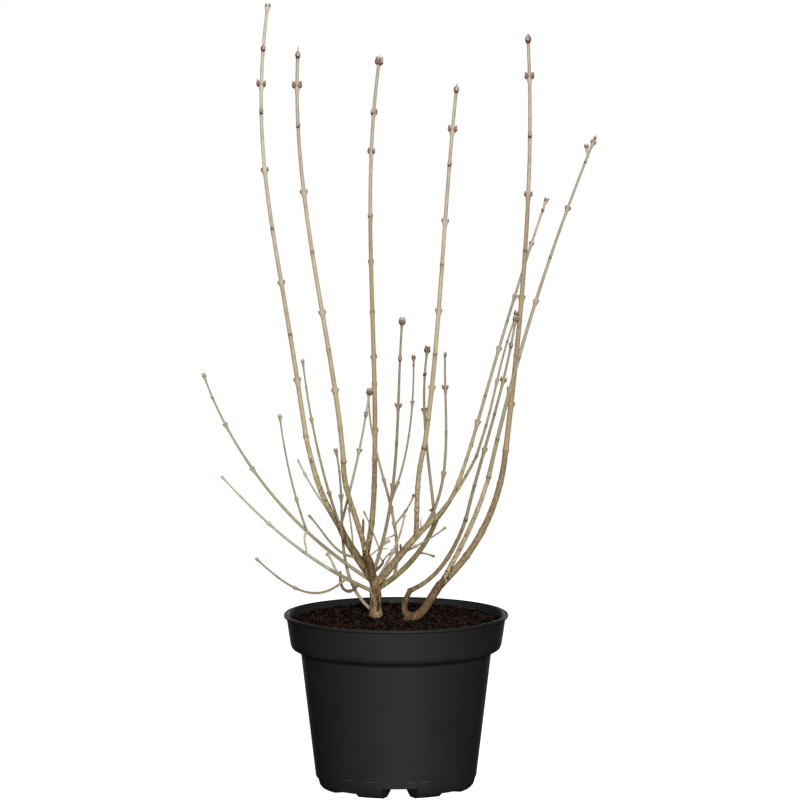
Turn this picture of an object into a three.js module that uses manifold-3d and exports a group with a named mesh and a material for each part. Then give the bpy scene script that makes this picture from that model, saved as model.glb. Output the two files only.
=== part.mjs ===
// Common lilac in winter: a bare bush of canes and twigs in a round black nursery pot.
// Millimetres and degrees, +Z up. The ground is z = 0, the pot's axis is the Z axis and
// the front is -Y. Old wood (trunk, boughs, canes) is smooth limbs; last summer's growth
// (shoots and sprays of twigs) carries a pair of buds at each joint, every pair turned a
// quarter from the one below it.

import * as THREE from 'three';
import { mergeVertices } from 'three/addons/utils/BufferGeometryUtils.js';
import Module from 'manifold-3d';

const wasm = await Module();
wasm.setup();

// ---- Driving dimensions ----

const GAP = 0.3; // clearance between neighbouring solids
const SINK = 1.5; // how far a limb's foot starts back inside its parent

// Radii, and heights above the ground unless a height is said to be the size of something.
const POT = {
  height: 178,
  lip: { radius: 115, thickness: 3.2, rounding: 2.4 },
  collar: { radius: 112, foot: 108, footHeight: 147.4, rounding: 1.6 },
  shoulder: { radius: 99.5, top: 143.2, foot: 139.6 }, // the slope from the collar to the body
  body: { top: 97.3, heel: 82.4, heelHeight: 12, foot: 76.5, footEdge: 80.8, footEdgeHeight: 4.8 },
  footRing: 13, // width of the ring that the pot stands on
  wall: 1.8,
  floor: { underside: 10, thickness: 2.2, fillet: 2 },
  sides: 48,
};
const NOTCH = {
  count: 8,
  turn: 2.5, // bearing of the first notch past the front
  width: 41.7,
  topWidth: 44,
  innerWidth: 19.7,
  innerTop: 8.3,
  height: 11,
  clear: 4,
};
// The mix has sunk by "fall" at the wall, most of it near the wall, and rises towards the back.
const MIX = { level: 170, roughness: 1.8, rings: 7, edge: 1.8, fall: 1.2, fallPower: 8, rise: 3 };
const GROUND_CUT = 168; // the trunk and the side stem stand this high, a little in the mix

// Lean is measured from upright, bearing from +X towards +Y. A limb springs from its parent
// at a share of the parent's length, or stands in the mix at its foot, leaves it along
// "leave", and turns evenly until it ends at "tip" along "end". Thick: diameter at both ends.
const OLD_WOOD = {
  trunk: {
    foot: [-20.6, 28, 166], leave: [3, 180], tip: [-21.6, 26, 205], end: [3, 180],
    thick: [12.6, 11.4], flare: 1.8,
  },
  left_bough: {
    from: ['trunk', 1], leave: [32, 175], tip: [-58, 30, 264], end: [23, 173], thick: [9, 7],
  },
  right_bough: {
    from: ['trunk', 0.94], leave: [44, 328], tip: [41.5, -10, 278.5], end: [51, 339],
    thick: [8.4, 5.2],
  },
  middle_bough: {
    from: ['trunk', 1], leave: [28, 215], tip: [-31, 14, 235], end: [42, 202],
    thick: [8.4, 7.6],
  },
  low_right_bough: {
    from: ['trunk', 0.84], leave: [63, 8], tip: [42.5, 52, 270], end: [26, 40], thick: [5.9, 4.8],
  },
  side_stem: {
    foot: [10, 2, 175], leave: [111, 0], tip: [45, 16, 205], end: [38, 8],
    thick: [8.8, 8.6], flare: 1.2,
  },
  hooked_stem: {
    from: ['side_stem', 0.03], leave: [40, 180], tip: [14, -2, 201.5], end: [25, 0],
    thick: [6.2, 5.2],
  },
  far_left_cane: {
    from: ['left_bough', 1], leave: [37, 171], tip: [-92.5, 45, 354], end: [17, 139],
    thick: [6, 4.9], knots: [23, 55],
  },
  left_cane: {
    from: ['middle_bough', 1], leave: [28, 258], tip: [-53, -38, 339], end: [22, 275],
    thick: [5.6, 5.1], knots: [35, 59, 88],
  },
  middle_cane: {
    from: ['middle_bough', 1], leave: [34, 66], tip: [-22, 60, 329], end: [19, 88],
    thick: [6.2, 5], knots: [37, 76],
  },
  right_cane: {
    from: ['right_bough', 0.7], leave: [31, 273], tip: [28.5, -60, 356], end: [30, 297],
    thick: [5.2, 4.9], knots: [36, 65, 90],
  },
  slim_right_cane: {
    from: ['right_bough', 1], leave: [41, 334], tip: [81.5, -32, 344], end: [27, 334],
    thick: [4.2, 2.8], knots: [40],
  },
  back_right_cane: {
    from: ['low_right_bough', 1], leave: [48, 22], tip: [77.5, 80, 341], end: [26, 41],
    thick: [4.7, 3.5], knots: [45],
  },
  side_cane: {
    from: ['side_stem', 1], leave: [49, 8], tip: [112.5, 45, 340], end: [12, 64],
    thick: [7.2, 5.7], knots: [40, 70, 122],
  },
  outer_right_cane: {
    from: ['side_stem', 1], leave: [31, 338], tip: [94, -20, 321], end: [22, 311],
    thick: [5.3, 4.3], knots: [48, 92],
  },
  front_right_cane: {
    from: ['hooked_stem', 1], leave: [66, 341], tip: [70.5, -40, 280], end: [27, 311],
    thick: [4.7, 3.8], knots: [58],
  },
};

// The tall shoots grow on from the canes. Internodes: lengths between bud pairs, from the
// foot up, the last pair at the tip. Facing: which way the tip pair looks, 0 left and right,
// 90 front and back. Stub: the dead end that stands between the tip buds.
const SHOOTS = {
  far_left_shoot: {
    from: ['far_left_cane', 1], leave: [15, 140], tip: [-131, 62, 794], end: [5, 0], sway: 3.2,
    thick: [4.8, 3.1], internodes: [60, 47, 54, 56, 60, 59, 28, 36, 44], facing: 0,
  },
  left_shoot: {
    from: ['left_cane', 1], leave: [22, 260], tip: [-97, -100, 751], end: [3, 0],
    thick: [5, 3.2], internodes: [39, 41, 45, 38, 63, 60, 66, 39, 31], facing: 90, stub: 9,
  },
  middle_shoot: {
    from: ['middle_cane', 1], leave: [19, 87], tip: [-17.5, 125, 735], end: [8, 0],
    thick: [5, 3.3], internodes: [31, 49, 28, 47, 52, 47, 66, 40, 53], facing: 40, stub: 6,
  },
  right_shoot: {
    from: ['right_cane', 1], leave: [28, 285], tip: [59.5, -127, 718], end: [6, 0],
    thick: [4.8, 3.2], internodes: [35, 35, 37, 45, 48, 43, 56, 34, 39], facing: 90, stub: 7,
  },
  side_shoot: {
    from: ['side_cane', 1], leave: [13, 58], tip: [135, 70, 758], end: [3, 180],
    thick: [5.6, 3.2], internodes: [49, 50, 60, 48, 57, 60, 60, 36], facing: 90,
  },
  outer_right_shoot: {
    from: ['outer_right_cane', 1], leave: [20, 304], tip: [197, -95, 668], end: [22, 0],
    thick: [4.3, 2.2], internodes: [44, 55, 36, 62, 48, 52, 50, 20], facing: 90,
    spurs: [{ at: 0.95, leave: [8, 200], length: 12, thick: [2, 1.8] }],
  },
  back_right_shoot: {
    from: ['back_right_cane', 1], leave: [23, 46], tip: [155.5, 127, 591], end: [19, 0],
    thick: [3.5, 2.2], internodes: [26, 28, 52, 30, 27, 31, 26, 36, 11], facing: 0,
  },
  slim_right_shoot: {
    from: ['slim_right_cane', 1], leave: [17, 319], tip: [120.5, -50, 489], end: [14, 0],
    sway: 1.5, thick: [2.8, 1.8], internodes: [34, 48, 41, 28], facing: 0,
  },
  front_right_shoot: {
    from: ['front_right_cane', 1], leave: [29, 292], tip: [118.5, -115, 489], end: [9, 0],
    thick: [3.6, 2.1], internodes: [44, 44, 43, 36, 36, 25], facing: 0,
    plump: 1.2,
  },
};

// A spray is one twig with the side twigs that branch from it. Plump: how much larger its
// buds are than those of its neighbours.
const SPRAYS = {
  far_left_spray: {
    from: ['left_bough', 0], leave: [57, 173], tip: [-198.5, 95, 411], end: [19, 162],
    thick: [3.9, 1.7], internodes: [126, 51, 8, 46, 31, 22], facing: 0,
    sway: -1,
    sides: [{
      at: 0.31, leave: [28, 232], tip: [-118, 0, 379], end: [13, 241], thick: [2.3, 1.6],
      internodes: [25, 16, 60, 31],
    }],
  },
  low_left_spray: {
    from: ['trunk', 0.76], leave: [66, 207], tip: [-174, -74, 327], end: [43, 204],
    thick: [4.6, 1.6], internodes: [101, 53, 44, 28], facing: 0,
    sides: [
      { at: 0.17, leave: [119, 230], tip: [-139, -94, 247], end: [49, 217], thick: [2.7, 1.6] },
      { at: 0.18, leave: [68, 195], tip: [-69.5, -4, 239], end: [39, 207], thick: [2.6, 1.8] },
      { at: 0.42, leave: [8, 0], tip: [-91.5, -22, 263], end: [32, 0], thick: [1.8, 1.4] },
    ],
  },
  basal_spray: {
    from: ['trunk', 0.2], leave: [56, 173], tip: [-62, 75, 335], end: [17, 141],
    thick: [3.6, 1.8], internodes: [98, 20, 14, 26, 22], facing: 0,
  },
  short_left_spray: {
    from: ['left_bough', 0.47], leave: [88, 207], tip: [-88, -5, 278.5], end: [47, 215],
    thick: [2.9, 1.6], internodes: [51, 26], facing: 0,
  },
  front_left_spray: {
    from: ['left_bough', 0.9], leave: [40, 247], tip: [-93.5, -60, 442], end: [15, 246],
    thick: [3, 1.6], internodes: [56, 55, 36, 36, 27], facing: 0,
  },
  inner_left_spray: {
    from: ['far_left_cane', 0.1], leave: [44, 222], tip: [-99.5, 0, 335], end: [28, 218],
    thick: [2.2, 1.6], internodes: [63, 16], facing: 90,
  },
  front_middle_spray: {
    from: ['left_bough', 0.97], leave: [30, 296], tip: [-27, -62, 410], end: [25, 287],
    thick: [2.8, 1.8], internodes: [105, 46, 26], facing: 0, plump: 1.5,
  },
  centre_spray: {
    from: ['middle_bough', 0.3], leave: [25, 318], tip: [6, -85, 483], end: [15, 285],
    thick: [3.8, 2], internodes: [108, 51, 42, 53, 38], facing: 90, plump: 1.4,
    sides: [{
      at: 0.3, leave: [29, 37], tip: [18, 30, 436], end: [17, 90], thick: [2.2, 1.5],
      internodes: [21, 51, 33, 38, 7],
    }],
  },
  crossing_spray: {
    from: ['low_right_bough', 0.23], leave: [13, 335], tip: [-27.5, 5, 404], end: [7, 293],
    thick: [3.4, 1.7], internodes: [57, 17, 31, 93], facing: 45,
    sides: [{ at: 0.28, leave: [52, 42], tip: [17.5, 48, 292], end: [33, 55], thick: [2, 1.6] }],
  },
  flat_front_spray: {
    from: ['right_bough', 0.44], leave: [64, 309], tip: [49.5, -45, 272], end: [58, 309],
    thick: [2.2, 1.5], internode: 24, bare: 24, facing: 0,
  },
  flat_back_spray: {
    from: ['low_right_bough', 0.51], leave: [50, 56], tip: [38.5, 62, 228], end: [108, 44],
    thick: [2, 1.4], internode: 14, bare: 14, facing: 0,
  },
  back_spray: {
    from: ['right_bough', 0.97], leave: [25, 102], tip: [32, 82, 438], end: [21, 68],
    thick: [3.2, 2.1], internodes: [122, 39, 25], facing: 0, plump: 1.3,
  },
  inner_right_spray: {
    from: ['right_bough', 0.76], leave: [44, 324], tip: [49.5, -28, 445], end: [1, 0],
    thick: [3.4, 1.9], internodes: [72, 43, 44, 33], facing: 90,
  },
};

// Buds grow from atFoot to atTip times the twig's thickness. A pair swells its joint, and each
// bud stands out of it by a share of its own length.
const BUD = { atFoot: 0.3, atTip: 2.3, least: 1.6, swell: 1.2, scar: 1.42, out: 0.52, lift: 0.3 };
const TIP_BUD = { longer: 1.2, out: 0.4, lift: 0.62, neck: 0.6, height: 0.4 };
const BUD_VARIES = { length: 0.2, facing: 16, joint: 0.3 };
const BUD_SEED = 29;
const BARE_TIP = 4; // no bud pair comes nearer than this to the pair at the tip
const SIDE_TWIG = { internode: 30, bareShare: 0.6 };
const KNOT = { swell: 1.16, reach: 3 };
const FLARE_FADE = 7; // height over which the root flare dies out
const SWAY_POINTS = 25;
const SIDES = { wood: 8, shoot: 6, twig: 4 };
const STEP = { wood: 13, flare: 6, twig: 26 }; // longest stretch of limb between two rings

const COLOURS = {
  pot: { color: '#1d1d1e', roughness: 0.5, metalness: 0 },
  mix: { color: '#2a1a12', roughness: 1, metalness: 0 },
  wood: { color: '#85725a', roughness: 0.9, metalness: 0 },
  cane: { color: '#a3905f', roughness: 0.8, metalness: 0 },
  shoot: { color: '#c2b08a', roughness: 0.75, metalness: 0 },
  twig: { color: '#9c8d66', roughness: 0.8, metalness: 0 },
};

// ---- Shared helpers ----

const radians = THREE.MathUtils.degToRad;
const mix = THREE.MathUtils.lerp;

// Park-Miller random numbers between 0 and 1, the same every time for one seed.
function randomFrom(seed) {
  let state = seed;
  return () => {
    state = (state * 48271) % 2147483647;
    return state / 2147483647;
  };
}

function solidFrom(geometry) {
  const bare = new THREE.BufferGeometry();
  bare.setAttribute('position', geometry.getAttribute('position'));
  bare.setIndex(geometry.getIndex());
  const merged = mergeVertices(bare, 1e-4);
  return new wasm.Manifold(new wasm.Mesh({
    numProp: 3,
    vertProperties: new Float32Array(merged.getAttribute('position').array),
    triVerts: new Uint32Array(merged.getIndex().array),
  }));
}

// Cutting can leave a loose scrap: only the largest piece is kept.
function largestPiece(solid) {
  return solid.decompose().sort((a, b) => b.volume() - a.volume())[0];
}

function meshFrom(name, solid, material) {
  const { vertProperties, triVerts } = solid.getMesh();
  const geometry = new THREE.BufferGeometry();
  geometry.setAttribute('position', new THREE.BufferAttribute(vertProperties, 3));
  geometry.setIndex(new THREE.BufferAttribute(triVerts, 1));
  geometry.computeVertexNormals();
  const mesh = new THREE.Mesh(geometry, new THREE.MeshStandardMaterial(material));
  mesh.name = name;
  return mesh;
}

// ---- Limbs: a skin of rings carried along a curve ----

const FRONT = new THREE.Vector3(0, -1, 0);

function heading([lean, bearing]) {
  const out = Math.sin(radians(lean));
  const turn = radians(bearing);
  return new THREE.Vector3(out * Math.cos(turn), out * Math.sin(turn), Math.cos(radians(lean)));
}

// The cubic that turns evenly: on a plain bend its handles are those of a circle's arc. Sway
// carries it first to one side and then to the other.
function evenTurn(foot, leave, tip, end, sway = 0) {
  const handle = foot.distanceTo(tip) / (3 * Math.cos(leave.angleTo(end) / 4) ** 2);
  const afterFoot = foot.clone().addScaledVector(leave, handle);
  const beforeTip = tip.clone().addScaledVector(end, -handle);
  const cubic = new THREE.CubicBezierCurve3(foot, afterFoot, beforeTip, tip);
  if (!sway) return cubic;
  const across = new THREE.Vector3(0, 1, 0).cross(tip.clone().sub(foot)).normalize();
  const points = Array.from({ length: SWAY_POINTS }, (_, i) => {
    const t = i / (SWAY_POINTS - 1);
    return cubic.getPoint(t).addScaledVector(across, sway * Math.sin(2 * Math.PI * t));
  });
  return new THREE.CatmullRomCurve3(points);
}

// The centre of the limb at a distance from its foot, the way along it and the two ways
// across it. Past either end the limb runs on straight.
function placeAlong(curve, distance) {
  const length = curve.getLength();
  const share = THREE.MathUtils.clamp(distance / length, 0, 1);
  const along = curve.getTangentAt(share);
  const centre = curve.getPointAt(share).addScaledVector(along, distance - share * length);
  const front = FRONT.clone().addScaledVector(along, -FRONT.dot(along)).normalize();
  const side = new THREE.Vector3().crossVectors(front, along);
  return { centre, along, side, front };
}

// Each ring is turned by whole spokes to lie nearest the ring below, so that the skin does
// not twist, and keeps the line of its buds.
function untwisted(rings, spoke) {
  let below = 0;
  return rings.map((ring) => {
    const turn = ring.facing - Math.round((ring.facing - below) / spoke) * spoke;
    below = turn;
    return { ...ring, turn };
  });
}

// A unit cylinder whose rows of points are carried to the rings, from the tip down. Points
// on a ring's bud line go out to its buds. Grow makes the skin larger on all sides.
function ringSkin(curve, rings, sides, grow) {
  const spoke = (2 * Math.PI) / sides;
  const rows = untwisted(rings, spoke).reverse();
  const lastRow = rows.length - 1;
  const places = rows.map((ring, row) => {
    const longer = grow * (Number(row === 0) - Number(row === lastRow));
    return placeAlong(curve, ring.at + longer);
  });
  const geometry = new THREE.CylinderGeometry(1, 1, 1, sides, lastRow);
  const position = geometry.getAttribute('position');
  const point = new THREE.Vector3();
  for (let i = 0; i < position.count; i += 1) {
    point.fromBufferAttribute(position, i);
    const row = Math.round((0.5 - point.y) * lastRow);
    const { radius, turn, facing, bud, stub = 0 } = rows[row];
    const { centre, along, side, front } = places[row];
    const isMiddle = Math.hypot(point.x, point.z) < 0.5;
    const angle = turn + Math.round(Math.atan2(point.x, point.z) / spoke) * spoke;
    const onBudLine = bud !== undefined && Math.abs(Math.sin(angle - facing)) < 0.1;
    const out = (onBudLine ? bud.out : radius) + grow;
    const lift = onBudLine ? bud.lift : 0;
    point.copy(centre).addScaledVector(along, isMiddle ? stub : lift);
    if (!isMiddle) {
      point.addScaledVector(side, out * Math.cos(angle));
      point.addScaledVector(front, out * Math.sin(angle));
    }
    position.setXYZ(i, point.x, point.y, point.z);
  }
  return solidFrom(geometry);
}

// Old wood: evenly spaced rings, thicker at the knots and at a foot with root flare.
function woodRings(limb, length) {
  const radiusAt = (at) => {
    const flare = (limb.flare ?? 0) * Math.exp(-at / FLARE_FADE);
    return mix(limb.thick[0], limb.thick[1], at / length) / 2 + flare;
  };
  const swells = [];
  const count = Math.ceil(length / (limb.flare ? STEP.flare : STEP.wood));
  for (let i = 1; i < count; i += 1) swells.push([(length * i) / count, 1]);
  const knots = limb.knots ?? [];
  const farFromKnots = swells.filter(([at]) => knots.every((k) => Math.abs(at - k) > 2 * KNOT.reach));
  const knotRings = knots.flatMap((k) => [[k - KNOT.reach, 1], [k, KNOT.swell], [k + KNOT.reach, 1]]);
  const inner = [...farFromKnots, ...knotRings].sort((a, b) => a[0] - b[0]);
  const first = { at: limb.from ? -SINK : 0, radius: radiusAt(0), facing: 0 };
  const last = { at: length, radius: radiusAt(length), facing: 0 };
  const between = inner.map(([at, swell]) => ({ at, radius: radiusAt(at) * swell, facing: 0 }));
  return [first, ...between, last];
}

// The rings of one bud pair: the stem below, the swollen joint with its leaf scars, the
// points of the buds and the stem above. Tip buds close the limb, with the stub between.
function budRings(at, radius, length, facing, tipStub) {
  const below = { at: at - length / 2, radius, facing };
  const scars = { out: radius * BUD.scar, lift: 0 };
  const joint = { at, radius: radius * BUD.swell, facing, bud: scars };
  if (tipStub !== undefined) {
    const neck = radius * TIP_BUD.neck;
    const bud = { out: neck + length * TIP_BUD.out, lift: length * TIP_BUD.lift };
    const top = { at: at + length * TIP_BUD.height, radius: neck, facing, bud, stub: tipStub };
    return [below, joint, top];
  }
  const bud = { out: radius + length * BUD.out, lift: length * BUD.lift };
  const points = { at: at + length / 2, radius, facing, bud };
  return [below, joint, points, { at: at + length, radius, facing }];
}

// Where a twig's bud pairs sit: at its own internodes, or spaced by the seeded rule.
function jointsOf(limb, length, random) {
  if (limb.internodes) {
    let at = 0;
    return limb.internodes.map((gap) => (at += gap)).filter((joint) => joint < length - BARE_TIP);
  }
  const run = length - limb.bare;
  const count = Math.max(1, Math.round(run / limb.internode));
  const shifts = Array.from({ length: count }, () => (random() - 0.5) * BUD_VARIES.joint);
  return shifts.map((shift, i) => limb.bare + (run * (i + shift)) / count);
}

function twigRings(limb, length, random) {
  const radiusAt = (at) => mix(limb.thick[0], limb.thick[1], at / length) / 2;
  const joints = [...jointsOf(limb, length, random), length];
  const last = joints.length - 1;
  const rings = [{ at: -SINK, radius: radiusAt(0), facing: 0 }];
  joints.forEach((at, i) => {
    const radius = radiusAt(at);
    const plump = (limb.plump ?? 1) * mix(BUD.atFoot, BUD.atTip, (at / length) ** 2);
    const plain = Math.max(BUD.least, plump * 2 * radius);
    const budLength = plain * (1 + BUD_VARIES.length * (random() - 0.5));
    const isTip = i === last;
    const degrees = limb.facing + 90 * (last - i) + BUD_VARIES.facing * (random() - 0.5);
    const facing = radians(degrees);
    const pair = isTip
      ? budRings(at, radius, budLength * TIP_BUD.longer, facing, limb.stub ?? 0)
      : budRings(at, radius, budLength, facing);
    const from = rings[rings.length - 1];
    const steps = Math.max(0, Math.floor((pair[0].at - from.at) / STEP.twig));
    for (let k = 1; k <= steps; k += 1) {
      const between = mix(from.at, pair[0].at, k / (steps + 1));
      rings.push({ at: between, radius: radiusAt(between), facing: from.facing });
    }
    rings.push(...pair.filter((ring) => ring.at > from.at + 0.5));
  });
  return rings;
}

// Every limb's curve, by name, for the limbs that spring from it.
const curves = {};

function curveOf(limb, parentCurve) {
  const foot = parentCurve
    ? parentCurve.getPointAt(limb.from ? limb.from[1] : limb.at)
    : new THREE.Vector3(...limb.foot);
  const tip = new THREE.Vector3(...limb.tip);
  return evenTurn(foot, heading(limb.leave), tip, heading(limb.end), limb.sway);
}

// A skin at its true size and one grown by the gap, which its neighbours are cut by.
function skins(curve, rings, sides) {
  return [0, GAP].map((grow) => ringSkin(curve, rings, sides, grow));
}

function joined(pairs) {
  return [0, 1].map((k) => pairs.map((pair) => pair[k]).reduce((all, next) => all.add(next)));
}

function woodSkins(limb, curve) {
  return skins(curve, woodRings(limb, curve.getLength()), SIDES.wood);
}

function spurTwig(spur, curve) {
  const foot = curve.getPointAt(spur.at);
  const way = heading(spur.leave);
  const spurCurve = evenTurn(foot, way, foot.clone().addScaledVector(way, spur.length), way);
  const twig = { thick: spur.thick, internodes: [], facing: 0 };
  return [twig, spurCurve];
}

function twigSkins(limb, curve, sides, random) {
  const own = skins(curve, twigRings(limb, curve.getLength(), random), sides);
  const sideTwigs = (limb.sides ?? []).map((twig) => {
    const twigCurve = curveOf(twig, curve);
    const bare = twigCurve.getLength() * SIDE_TWIG.bareShare;
    return [{ facing: limb.facing, internode: SIDE_TWIG.internode, bare, ...twig }, twigCurve];
  });
  const spurs = (limb.spurs ?? []).map((spur) => spurTwig(spur, curve));
  const branches = [...sideTwigs, ...spurs].map(([twig, twigCurve]) => (
    skins(twigCurve, twigRings(twig, twigCurve.getLength(), random), SIDES.twig)
  ));
  return joined([own, ...branches]);
}

// ---- The plant: each limb is cut clear of those that stand before it ----

const grownSolids = [];

function clearOf(solid, others) {
  const cut = others.reduce((left, other) => (
    left.intersect(other).volume() > 1e-6 ? left.subtract(other) : left
  ), solid);
  return largestPiece(cut);
}

function growLimbs(limbs, skinsOf, material) {
  return Object.entries(limbs).map(([name, limb]) => {
    curves[name] = curveOf(limb, limb.from && curves[limb.from[0]]);
    const [own, grown] = skinsOf(limb, curves[name]);
    const onGround = limb.from ? own : own.trimByPlane([0, 0, 1], GROUND_CUT);
    const solid = clearOf(onGround, grownSolids);
    grownSolids.push(limb.from ? grown : grown.trimByPlane([0, 0, 1], GROUND_CUT - GAP));
    return meshFrom(name, solid, material(name));
  });
}

const random = randomFrom(BUD_SEED);
const woodMeshes = growLimbs(OLD_WOOD, woodSkins, (name) => (
  name.endsWith('cane') ? COLOURS.cane : COLOURS.wood
));
const shootMeshes = growLimbs(
  SHOOTS,
  (limb, curve) => twigSkins(limb, curve, SIDES.shoot, random),
  () => COLOURS.shoot,
);
const sprayMeshes = growLimbs(
  SPRAYS,
  (limb, curve) => twigSkins(limb, curve, SIDES.twig, random),
  () => COLOURS.twig,
);

// ---- The pot and its potting mix ----

function turned(outline, sides) {
  const points = outline.map(([radius, height]) => new THREE.Vector2(radius, height));
  return new THREE.LatheGeometry(points, sides).rotateX(Math.PI / 2);
}

const { lip, collar, shoulder, body } = POT;
const floorTop = POT.floor.underside + POT.floor.thickness;
const lipFoot = POT.height - lip.thickness;
const ringInner = body.foot - POT.footRing;

// The outside of the pot, from the middle of its underside up to the lip.
const outsideOutline = [
  [0, POT.floor.underside],
  [ringInner - 1, POT.floor.underside],
  [ringInner, 0],
  [body.foot, 0],
  [body.footEdge, body.footEdgeHeight],
  [body.heel, body.heelHeight],
  [body.top, shoulder.foot - POT.wall],
  [shoulder.radius, shoulder.foot],
  [collar.foot - collar.rounding, shoulder.top],
  [collar.foot, collar.footHeight],
  [collar.radius, lipFoot - 0.6],
  [lip.radius - 0.4, lipFoot],
  [lip.radius, POT.height - lip.rounding * 0.7],
  [lip.radius - 0.6, POT.height - lip.rounding * 0.3],
  [lip.radius - lip.rounding, POT.height],
  [collar.radius - POT.wall, POT.height - 0.4],
];

// The inside of the pot, from under the lip down to the middle of the floor.
const insideOutline = [
  [collar.radius - POT.wall, lipFoot],
  [collar.foot - POT.wall, collar.footHeight],
  [collar.foot - POT.wall - collar.rounding, shoulder.top + POT.wall / 2],
  [body.top - POT.wall, shoulder.foot + POT.wall],
  [body.heel - POT.wall, floorTop + POT.floor.fillet],
  [body.heel - POT.wall - POT.floor.fillet, floorTop],
  [0, floorTop],
];

// One drainage notch: a block that narrows upwards and towards the pot's axis.
function notchCutter(angle) {
  const far = body.heel + NOTCH.clear;
  const near = ringInner - NOTCH.clear;
  const geometry = new THREE.BoxGeometry(1, 1, 1);
  const position = geometry.getAttribute('position');
  for (let i = 0; i < position.count; i += 1) {
    const isFar = position.getX(i) > 0;
    const isTop = position.getZ(i) > 0;
    const outer = isTop ? NOTCH.topWidth : NOTCH.width;
    const inner = isTop ? NOTCH.innerTop : NOTCH.innerWidth;
    const across = position.getY(i) * (isFar ? outer : inner);
    position.setXYZ(i, isFar ? far : near, across, isTop ? NOTCH.height : -1);
  }
  return solidFrom(geometry.rotateZ(angle));
}

function potSolid() {
  let solid = solidFrom(turned([...outsideOutline, ...insideOutline], POT.sides));
  const front = THREE.MathUtils.degToRad(NOTCH.turn - 90);
  for (let i = 0; i < NOTCH.count; i += 1) {
    solid = solid.subtract(notchCutter(front + (2 * Math.PI * i) / NOTCH.count));
  }
  return solid;
}

function unevenness(x, y) {
  const waves = Math.sin(x / 9 + 1) + Math.sin(y / 8) + Math.sin((x - y) / 13) + Math.sin((x + y) / 17);
  return (MIX.roughness * waves) / 4;
}

// The mix fills the pot, a gap clear of its wall, with an uneven top.
function mixSolid() {
  const wall = insideOutline.slice(1, -1).reverse();
  const wallSide = wall.map(([radius, height]) => [radius - GAP, height + GAP]);
  const edge = collar.radius - POT.wall - GAP - MIX.edge;
  const top = [];
  for (let i = 0; i < MIX.rings; i += 1) top.push([edge * (1 - i / MIX.rings), MIX.level]);
  const outline = [[0, floorTop + GAP], ...wallSide, ...top, [0, MIX.level]];
  const geometry = turned(outline, POT.sides / 2);
  const position = geometry.getAttribute('position');
  for (let i = 0; i < position.count; i += 1) {
    if (position.getZ(i) > MIX.level - 0.01) {
      const x = position.getX(i);
      const y = position.getY(i);
      const fall = MIX.fall * (Math.hypot(x, y) / edge) ** MIX.fallPower;
      const rise = MIX.rise * (Math.max(0, y) / edge) ** 2;
      position.setZ(i, MIX.level - fall + rise + unevenness(x, y));
    }
  }
  return solidFrom(geometry);
}

const lilac = new THREE.Group();
lilac.name = 'lilac_in_pot';
lilac.add(meshFrom('pot', potSolid(), COLOURS.pot));
lilac.add(meshFrom('potting_mix', clearOf(mixSolid(), grownSolids), COLOURS.mix));
lilac.add(...woodMeshes, ...shootMeshes, ...sprayMeshes);

export default lilac;
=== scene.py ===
import math

import bpy
import numpy as np
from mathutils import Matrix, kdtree, noise


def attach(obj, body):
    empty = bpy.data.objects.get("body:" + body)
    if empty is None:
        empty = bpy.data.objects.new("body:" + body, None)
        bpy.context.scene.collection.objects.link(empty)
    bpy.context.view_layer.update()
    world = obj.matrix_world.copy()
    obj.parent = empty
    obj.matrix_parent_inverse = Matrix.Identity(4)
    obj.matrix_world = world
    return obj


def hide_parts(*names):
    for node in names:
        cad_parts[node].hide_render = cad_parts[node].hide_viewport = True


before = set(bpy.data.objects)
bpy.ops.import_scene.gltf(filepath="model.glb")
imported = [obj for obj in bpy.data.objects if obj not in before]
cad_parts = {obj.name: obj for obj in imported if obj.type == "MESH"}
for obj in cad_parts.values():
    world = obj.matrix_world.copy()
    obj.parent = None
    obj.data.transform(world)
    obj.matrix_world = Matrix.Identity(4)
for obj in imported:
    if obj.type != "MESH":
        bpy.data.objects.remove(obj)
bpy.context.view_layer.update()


# ---- Nursery pot ----
# A round five-litre growing pot of black polypropylene, injection-moulded in one piece: a thin
# tapering wall with a stepped collar under a flat lip, on a foot ring cut by eight notches, deep
# and shallow by turns, with a round drainage hole in the floor behind each rib of the foot ring.

MM = 0.001  # sizes are in millimetres, apart from those of the lamps and the camera

# The section of the wall as corners (radius, height, rounding): from the middle of the
# underside out to the foot ring, up the outside, over the lip and down the inside.
POT_CORNERS = [
    (0, 10, 0), (62.4, 10, 1.5), (63.5, 0, 0.8), (76.5, 0, 1.4), (80.8, 4.8, 2.5),
    (82.4, 12, 1), (97.3, 137.8, 1), (99.5, 139.6, 1.5), (106.4, 143.2, 1.6),
    (108, 147.4, 1.4), (112, 174.4, 0.5), (114.6, 174.9, 0.5), (115, 176.3, 0.5),
    (114.3, 177.6, 0.5), (112.6, 178, 0.6), (110.2, 177.6, 1.5), (106.2, 147.4, 2.2),
    (104.6, 144.1, 2.2), (95.5, 141.4, 2), (80.6, 14.2, 1.5), (78.6, 12.2, 1.5), (0, 12.2, 0),
]
POT_SIDES = 192
POT_CREASE = 32  # edges sharper than this many degrees are not smoothed over
ROUNDING = {"share": 0.45, "points": 5}  # the most of a side that one takes, and its points
# Widths of each notch at the foot and at its top, across the outside and the inside.
NOTCHES = {"count": 8, "turn": 2.5, "outside": (41.7, 44), "inside": (19.7, 8.3),
           "heights": (11, 3.6), "below": -1, "near": 59.5, "far": 86.4}
DRAIN_HOLES = {"radius": 5.5, "circle": 52, "sides": 20, "heights": (9, 13.5)}


def unit(vector):
    return vector / np.linalg.norm(vector)


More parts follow.
